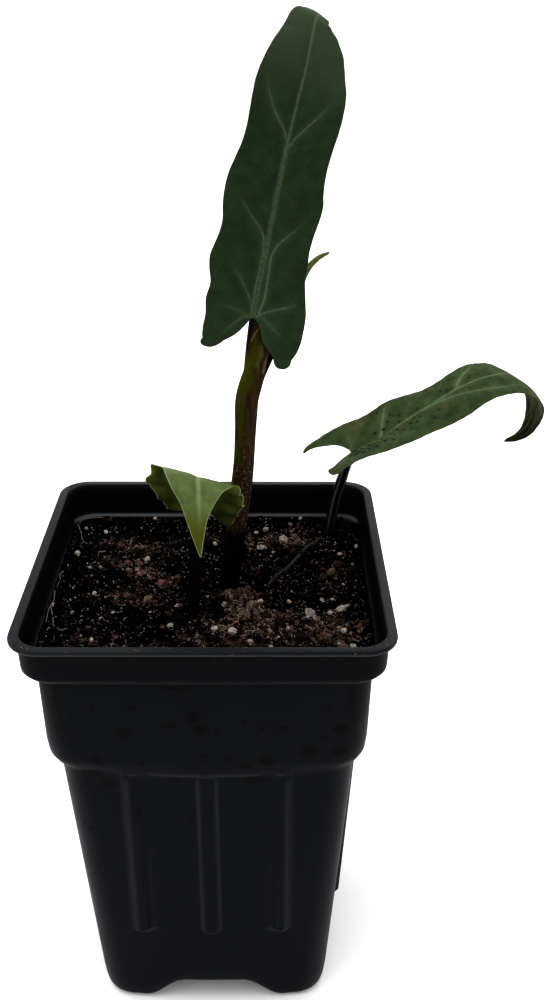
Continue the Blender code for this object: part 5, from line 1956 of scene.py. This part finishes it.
    def build_body(self, pot: Pot) -> Piece:
        """The body of the mix, which follows the pot's inside up to just under the crust."""
        rows = np.array([POT_SECTIONS[i].row() for i in (0, 1, 2, 3, 5, 8, 9, 10, 12)])
        rows[:, HEIGHT] += np.where(rows[:, HEIGHT] < self.floor_below, self.clearance, 0.0)
        rows[:, RIB] = 0.0
        rows[:, HALF] -= self.clearance
        floor = rows[:1].copy()
        rows[:, RADIUS] -= self.clearance
        top = np.array([(self.level - 3.0, self.body_half, 8.0, 0.4, 0.0, 0.0, 0.0, 1.0)] * 2)
        floor[0, SCALE] = top[1, SCALE] = 0.0
        rows = np.vstack((floor, rows, top))
        fine = np.linspace(0.0, len(rows) - 1.0, 4 * (len(rows) - 1) + 1)
        rows = read_rows(fine, np.arange(len(rows)), rows)
        rule = pot.skin(rows, ribs=False)
        body = shaped_grid("mix_body", 4 * len(pot.stations()), len(rows) - 1, rule)
        edit_all(body, merge_doubles, face_outwards)
        return self.mark_rich(body)

    def build_crust(self) -> Piece:
        """The top of the mix as a closed slab with a lumpy upper side."""

        def place(across: np.ndarray, along: np.ndarray) -> np.ndarray:
            """Set a point of the crust by its shares of the way across and along."""
            flat = self.to_square(across, along)
            return np.column_stack((flat, [self.height(x, y) for x, y in flat]))

        def close() -> None:
            """Draw the slab's underside out of its upper side."""
            down = {"value": (0.0, 0.0, -self.crust_depth * MM)}
            bpy.ops.mesh.extrude_region_move(TRANSFORM_OT_translate=down)
            bpy.ops.transform.resize(
                value=(self.crust_taper, self.crust_taper, 1.0), center_override=(0.0, 0.0, 0.0)
            )

        crust = shaped_grid("mix_crust", self.crust_cells, self.crust_cells, place)
        edit_all(crust, close)
        edit_all(crust, face_outwards)
        return self.mark_rich(crust)

    def take(self, grain: Piece) -> Shape:
        """A grain's points in millimetres and its faces, taken from a piece that is then removed."""
        shape = points_of(grain), np.array([tuple(face.vertices) for face in grain.data.polygons])
        bpy.data.objects.remove(grain)
        return shape

    def originals(self, kind: Strewn) -> list[Shape]:
        """Model a few shapes of one kind of grain.

        Args:
            kind: The kind of grain.

        Returns:
            Points, one millimetre across, and triangles of each shape.
        """
        shapes = []
        for index in range(self.shapes_each):
            deselect_all()
            if kind.flat < 1.0:
                bpy.ops.mesh.primitive_cube_add(size=1.0)
            else:
                bpy.ops.mesh.primitive_ico_sphere_add(subdivisions=kind.splits, radius=0.5)
            grain = bpy.context.object

            def roughen() -> None:
                """Break up the plain form."""
                if kind.flat < 1.0:
                    bpy.ops.mesh.subdivide(number_cuts=1)
                bpy.ops.transform.vertex_random(
                    offset=0.16, uniform=0.0, normal=0.25, seed=kind.seed + index
                )

            edit_all(grain, roughen)
            edit_all(grain, split_to_triangles)
            draw = random.Random(kind.seed * 31 + index)
            long, wide, tall = (draw.uniform(*ends) for ends in ((0.9, 1.3), (0.7, 1.0), (0.6, 0.95)))
            points, faces = self.take(grain)
            shapes.append((points * MM * (long, wide, kind.flat * tall), faces))
        return shapes

    def fibres(self, kind: Strewn) -> list[Shape]:
        """Model a few curved fibres, one millimetre long, as thin three-sided tubes."""
        shapes = []
        draw = random.Random(kind.seed)
        for index in range(self.fibres_each):
            bend, hook = draw.uniform(-0.16, 0.16), draw.uniform(-0.14, 0.14)
            rise = draw.uniform(0.0, 0.12)
            route = [
                (t - 0.5, bend * math.sin(math.pi * t) + hook * t * t, rise * math.sin(math.pi * t))
                for t in (0.0, 0.2, 0.4, 0.6, 0.8, 1.0)
            ]
            fibre = Stem(f"fibre_{index}", tuple(route), self.fibre_radii, 3, 5)
            grain = fibre.build()
            edit_all(grain, split_to_triangles)
            shapes.append(self.take(grain))
        return shapes

    def spots(self, kind: Strewn, draw: random.Random) -> list[Point]:
        """Choose where a kind's grains lie: its fixed places first, then drawn ones.

        Args:
            kind: The kind of grain.
            draw: Gives the numbers by chance.

        Returns:
            Places across and along, each with a size.
        """
        placed = list(kind.fixed)
        while len(placed) < max(kind.count, len(kind.fixed)):
            x, y = (draw.uniform(-self.strewn_half, self.strewn_half) for _ in range(2))
            beyond = (max(abs(side) - self.corner_from, 0.0) for side in (x, y))
            if math.hypot(*beyond) > self.corner_reach:
                continue
            rich = float(self.richness(np.array(x), np.array(y)))
            wanted = (1.0 - kind.gather) + kind.gather * rich**1.5
            if draw.random() > wanted * (1.0 - kind.gather + kind.gather * self.patchiness(x, y)):
                continue
            size = kind.least + (kind.most - kind.least) * draw.random() ** self.size_bias
            placed.append((x, y, size))
        return placed

    def strew(self, kind: Strewn, shapes: list[Shape]) -> Piece:
        """Strew copies of the shapes over the crust as one piece.

        Args:
            kind: The kind of grain, with its count, sizes and seed.
            shapes: Points and triangles of its shapes.

        Returns:
            The piece, with a tone for each grain.
        """
        draw = random.Random(kind.seed)
        all_points, all_faces, tones, start = [], [], [], 0
        for x, y, size in self.spots(kind, draw):
            points, faces = shapes[draw.randrange(len(shapes))]
            yaw = Matrix.Rotation(draw.uniform(0.0, math.tau), 3, "Z")
            lean = math.radians(draw.uniform(-kind.lean, kind.lean))
            axis = Vector((draw.uniform(-1, 1), draw.uniform(-1, 1), 0.01)).normalized()
            turn = np.array(Matrix.Rotation(lean, 3, axis) @ yaw)
            moved = points @ turn.T * size
            moved += (x, y, self.height(x, y) + (0.5 - kind.sink) * size * min(kind.flat, 1.0))
            all_points.append(moved)
            all_faces.append(faces + start)
            rich = float(self.richness(np.array(x), np.array(y)))
            tone = draw.uniform(*kind.tones) * (1.0 - kind.rusty * (1.0 - rich))
            tones.append(np.full(len(points), tone))
            start += len(points)
        mesh = bpy.data.meshes.new(kind.name)
        mesh.from_pydata((np.vstack(all_points) * MM).tolist(), [], np.vstack(all_faces).tolist())
        piece = bpy.data.objects.new(kind.name, mesh)
        bpy.context.scene.collection.objects.link(piece)
        store(piece, "tone", np.concatenate(tones))
        return piece

    def build_strand(self) -> Piece:
        """The dry root strand that lies on the mix, thicker at its foot."""
        route = [
            (x, y, self.base_height(x, y) + 0.5 * radius)
            for (x, y), radius in zip(self.strand_route, self.strand_radii)
        ]
        strand = Stem("dry_root", tuple(route), self.strand_radii, 14, 120).build()
        points = points_of(strand)
        rough = np.array([noise.noise(Vector(p / 0.8)) for p in points])
        set_points(strand, points + 0.14 * rough[:, None])
        store(strand, "tone", 0.55)
        return strand

    def build_filaments(self) -> Piece:
        """Thin pale roots that lie on the mix along the left wall, as one piece."""
        threads = []
        for index, course in enumerate(self.filaments):
            route = tuple((x, y, self.height(x, y) + 0.25) for x, y in course)
            radii = tuple(0.17 - 0.02 * step for step in range(len(route)))
            threads.append(Stem(f"filament_{index}", route, radii, 6, 40).build())
        piece = join("root_filaments", *threads)
        store(piece, "tone", 0.6)
        return piece

    def kinds(self) -> tuple[tuple[Strewn, LooseGrain], ...]:
        """Every kind of grain with its finish, in the order in which they are strewn."""
        low, full = (0.0, 0.85), (0.1, 1.0)
        return (
            (Strewn("peat_crumbs", 5000, 0.4, 1.5, 11, 0.5, 0.35, rusty=0.85), self.crumb_finish),
            (
                Strewn("bark_chips", 1400, 0.3, 1.4, 12, 0.93, 0.3, lean=60.0, flat=0.5, rusty=0.4),
                self.chip_finish,
            ),
            (Strewn("peat_clods", 520, 0.7, 2.2, 19, 0.97, 0.4, tones=full, rusty=0.6), self.clod_finish),
            (
                Strewn(
                    "fibrous_lumps", 0, 2.6, 3.8, 20, 0.5, 0.45, self.big_clods, splits=3,
                    tones=(0.1, 0.8),
                ),
                self.clod_finish,
            ),
            (
                Strewn(
                    "coir_fibres", 6000, 0.6, 2.2, 13, 0.97, 0.25, torn=True, lean=60.0, tones=(0.2, 1.0),
                    rusty=0.3,
                ),
                self.coir_finish,
            ),
            (Strewn("perlite_grit", 2800, 0.25, 0.7, 17, 0.6, 0.3, tones=low), self.perlite_finish),
            (
                Strewn("perlite_small", 280, 0.5, 1.5, 14, 0.6, 0.35, splits=2, tones=low),
                self.perlite_finish,
            ),
            (
                Strewn(
                    "perlite_large", 0, 2.0, 3.8, 15, 0.5, 0.3, self.big_grains, splits=3,
                    tones=(0.65, 1.0),
                ),
                self.perlite_finish,
            ),
            (
                Strewn(
                    "tan_chips", 0, 2.0, 3.4, 16, 0.5, 0.3, self.tan_chips, splits=3, tones=(0.5, 0.8)
                ),
                self.tan_finish,
            ),
            (
                Strewn(
                    "red_chips", 0, 1.3, 2.6, 18, 0.5, 0.3, self.red_chips, flat=0.6, tones=(0.2, 0.8)
                ),
                self.red_finish,
            ),
        )

    def make(self, pot: Pot) -> None:
        """Build and dress the whole mix."""
        peat = self.peat.make()
        finish_piece(self.build_body(pot), (peat,), "potting_mix", smooth_angle=40.0)
        finish_piece(self.build_crust(), (peat,), "potting_mix", smooth_angle=60.0)
        for kind, finish in self.kinds():
            piece = self.strew(kind, self.fibres(kind) if kind.torn else self.originals(kind))
            finish_piece(piece, (finish.make(),), "potting_mix", smooth_angle=0.0)
        filaments = self.build_filaments()
        finish_piece(filaments, (self.filament_finish.make(),), "potting_mix")
        finish_piece(self.build_strand(), (self.root_finish.make(),), "dry_root_strand")


# Studio


@dataclass
class Studio:
    """A plain pale floor, soft light from above and the camera at the photograph's angle."""

    location: Point = (16.107, -286.912, 299.227)
    pitch: float = 26.252
    yaw: float = 0.428
    roll: float = 0.221
    focal_share: float = 1.135831
    sensor: float = 36.0
    floor_colour: str = "f4f4f4"
    floor_size: float = 40.0
    # The floor lies a tenth of a millimetre under the pot
    floor_gap: float = 0.1
    world_strength: float = 0.95
    # What the lights are turned to, in metres
    target: Point = (0.0, 0.0, 0.12)
    # Lights: name, place in metres, size in metres, power in watts
    lights: tuple[tuple[str, Point, float, float], ...] = (
        ("soft_top", (-0.25, -0.10, 1.1), 0.9, 5.5),
        ("soft_back", (0.35, 0.9, 0.9), 0.8, 3.0),
    )

    def make_camera(self) -> None:
        """Place the camera; its lens is set from the frame's long side of 1000 pixels."""
        data = bpy.data.cameras.new("photo_camera")
        camera = bpy.data.objects.new("photo_camera", data)
        bpy.context.scene.collection.objects.link(camera)
        data.sensor_fit = "AUTO"
        data.sensor_width = self.sensor
        data.lens = self.sensor * self.focal_share
        data.clip_start, data.clip_end = 0.01, 60.0
        yaw, pitch, roll = (
            Matrix.Rotation(math.radians(degrees), 4, axis)
            for degrees, axis in ((-self.yaw, "Z"), (90.0 - self.pitch, "X"), (self.roll, "Z"))
        )
        camera.matrix_world = Matrix.Translation(Vector(self.location) * MM) @ (yaw @ pitch @ roll)
        bpy.context.scene.camera = camera

    def make_floor(self) -> None:
        """A large matt floor that runs to the horizon."""
        deselect_all()
        bpy.ops.mesh.primitive_plane_add(size=self.floor_size, location=(0.0, 0.0, -self.floor_gap * MM))
        floor = bpy.context.object
        floor.name = "studio_floor"
        material, add = new_material("studio_paint_rolled")
        close_surface(
            add, {"Base Color": self.floor_colour, "Roughness": 0.9, "Specular IOR Level": 0.1}
        )
        floor.data.materials.append(material)

    def make_lights(self) -> None:
        """A broad soft light overhead, a weaker one behind and an even pale world."""
        world = bpy.data.worlds.new("studio_world")
        bpy.context.scene.world = world
        world.use_nodes = True
        back = world.node_tree.nodes["Background"]
        back.inputs["Color"].default_value = (1.0, 1.0, 1.0, 1.0)
        back.inputs["Strength"].default_value = self.world_strength
        for name, place, size, power in self.lights:
            data = bpy.data.lights.new(name, "AREA")
            data.size = size
            data.energy = power
            light = bpy.data.objects.new(name, data)
            bpy.context.scene.collection.objects.link(light)
            light.location = place
            aim = Vector(self.target) - light.location
            light.rotation_euler = aim.to_track_quat("-Z", "Y").to_euler()

    def make(self) -> None:
        """Set the whole studio up."""
        bpy.context.scene.view_settings.view_transform = "Standard"
        bpy.context.scene.view_settings.look = "High Contrast"
        self.make_camera()
        self.make_floor()
        self.make_lights()


@dataclass(frozen=True)
class CormSkin:
    """The papery skin of an underground corm, grown: warm brown with fine rings."""

    dark: str = "3a2415"
    light: str = "8a6a48"
    # The rings are about 6 mm apart
    ring: float = 6.0

    def dress(self, *nodes: str) -> None:
        """Give the corm nodes, which stay as the solids have them, their finish."""
        material, add = new_material("corm_skin_grown")
        place = add("TexCoord").outputs["Object"]
        rings = add("TexWave", {
            "bands_direction": "Z", "Scale": cells(self.ring), "Distortion": 3.0, "Detail": 3.0,
            "Vector": place,
        }).outputs["Fac"]
        colour = add("Mix", {"data_type": "RGBA", 0: rings, 6: self.dark, 7: self.light})
        bump = add("Bump", {"Strength": 0.4, "Distance": 0.2 * MM, "Height": rings})
        close_surface(add, {"Base Color": colour, "Roughness": 0.8, "Normal": bump})
        for node in nodes:
            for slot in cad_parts[node].material_slots:
                slot.material = material
            LOG.info("%s: keeps its solid", node)


# The tall leaf's tip colour, paler and greyer than its green, is painted light and sheen on its top and
# lobes
TALL_SKIN = LeafSkin(
    "tall_leaf_wax_grown", "1c2818", "26371f", "626e57", "1c2517", "353f2d", "303b27",
    vein_share=0.5, halo=0.1, edge_share=0.3, roughness=0.8, specular=0.22, freckles=0.4,
)
TALL_BACK = LeafBack("tall_leaf_underside_grown", "1f2613", "343c22", "1c1812")
ARCHING_SKIN = LeafSkin(
    "arching_leaf_wax_grown", "222d17", "3b4a2a", "78826a", "2a381f", "334324", "4b482e",
    tinge_share=0.75, vein_share=0.4, halo=0.12, edge_share=0.3, specks=0.9, roughness=0.7,
    freckles=0.8,
)
ARCHING_BACK = LeafBack(
    "arching_leaf_underside_grown", "262916", "565840", "7a7c60", 0.5, tip="20260a", tip_share=0.85,
    streaks=4.0,
)
YOUNG_SKIN = LeafSkin(
    "young_leaf_wax_grown", "434f2c", "5c6740", "7f8d6b", "838e6c", "4a4c10", "5c6636",
    vein_share=0.42, halo=0.2, edge_width=0.24, edge_share=0.75, freckles=0.2,
)
YOUNG_BACK = LeafBack(
    "young_leaf_underside_grown", "333b18", "505828", "5c6531", 0.4, rim="7c8764", rim_share=0.7
)


def main() -> None:
    """Build the plant in its pot, piece by piece, then the studio."""
    logging.basicConfig(level=logging.INFO, format="%(message)s")
    pot = Pot()
    pot.make()
    PottingMix().make(pot)
    Stalks().make()
    for blade, skin, back in (
        (TALL_BLADE, TALL_SKIN, TALL_BACK),
        (ARCHING_BLADE, ARCHING_SKIN, ARCHING_BACK),
        (YOUNG_BLADE, YOUNG_SKIN, YOUNG_BACK),
    ):
        blade.dress(blade.build(), skin, back)
    CormSkin().dress("main_corm", "offset_corm")
    Studio().make()


if __name__ == "__main__":
    main()
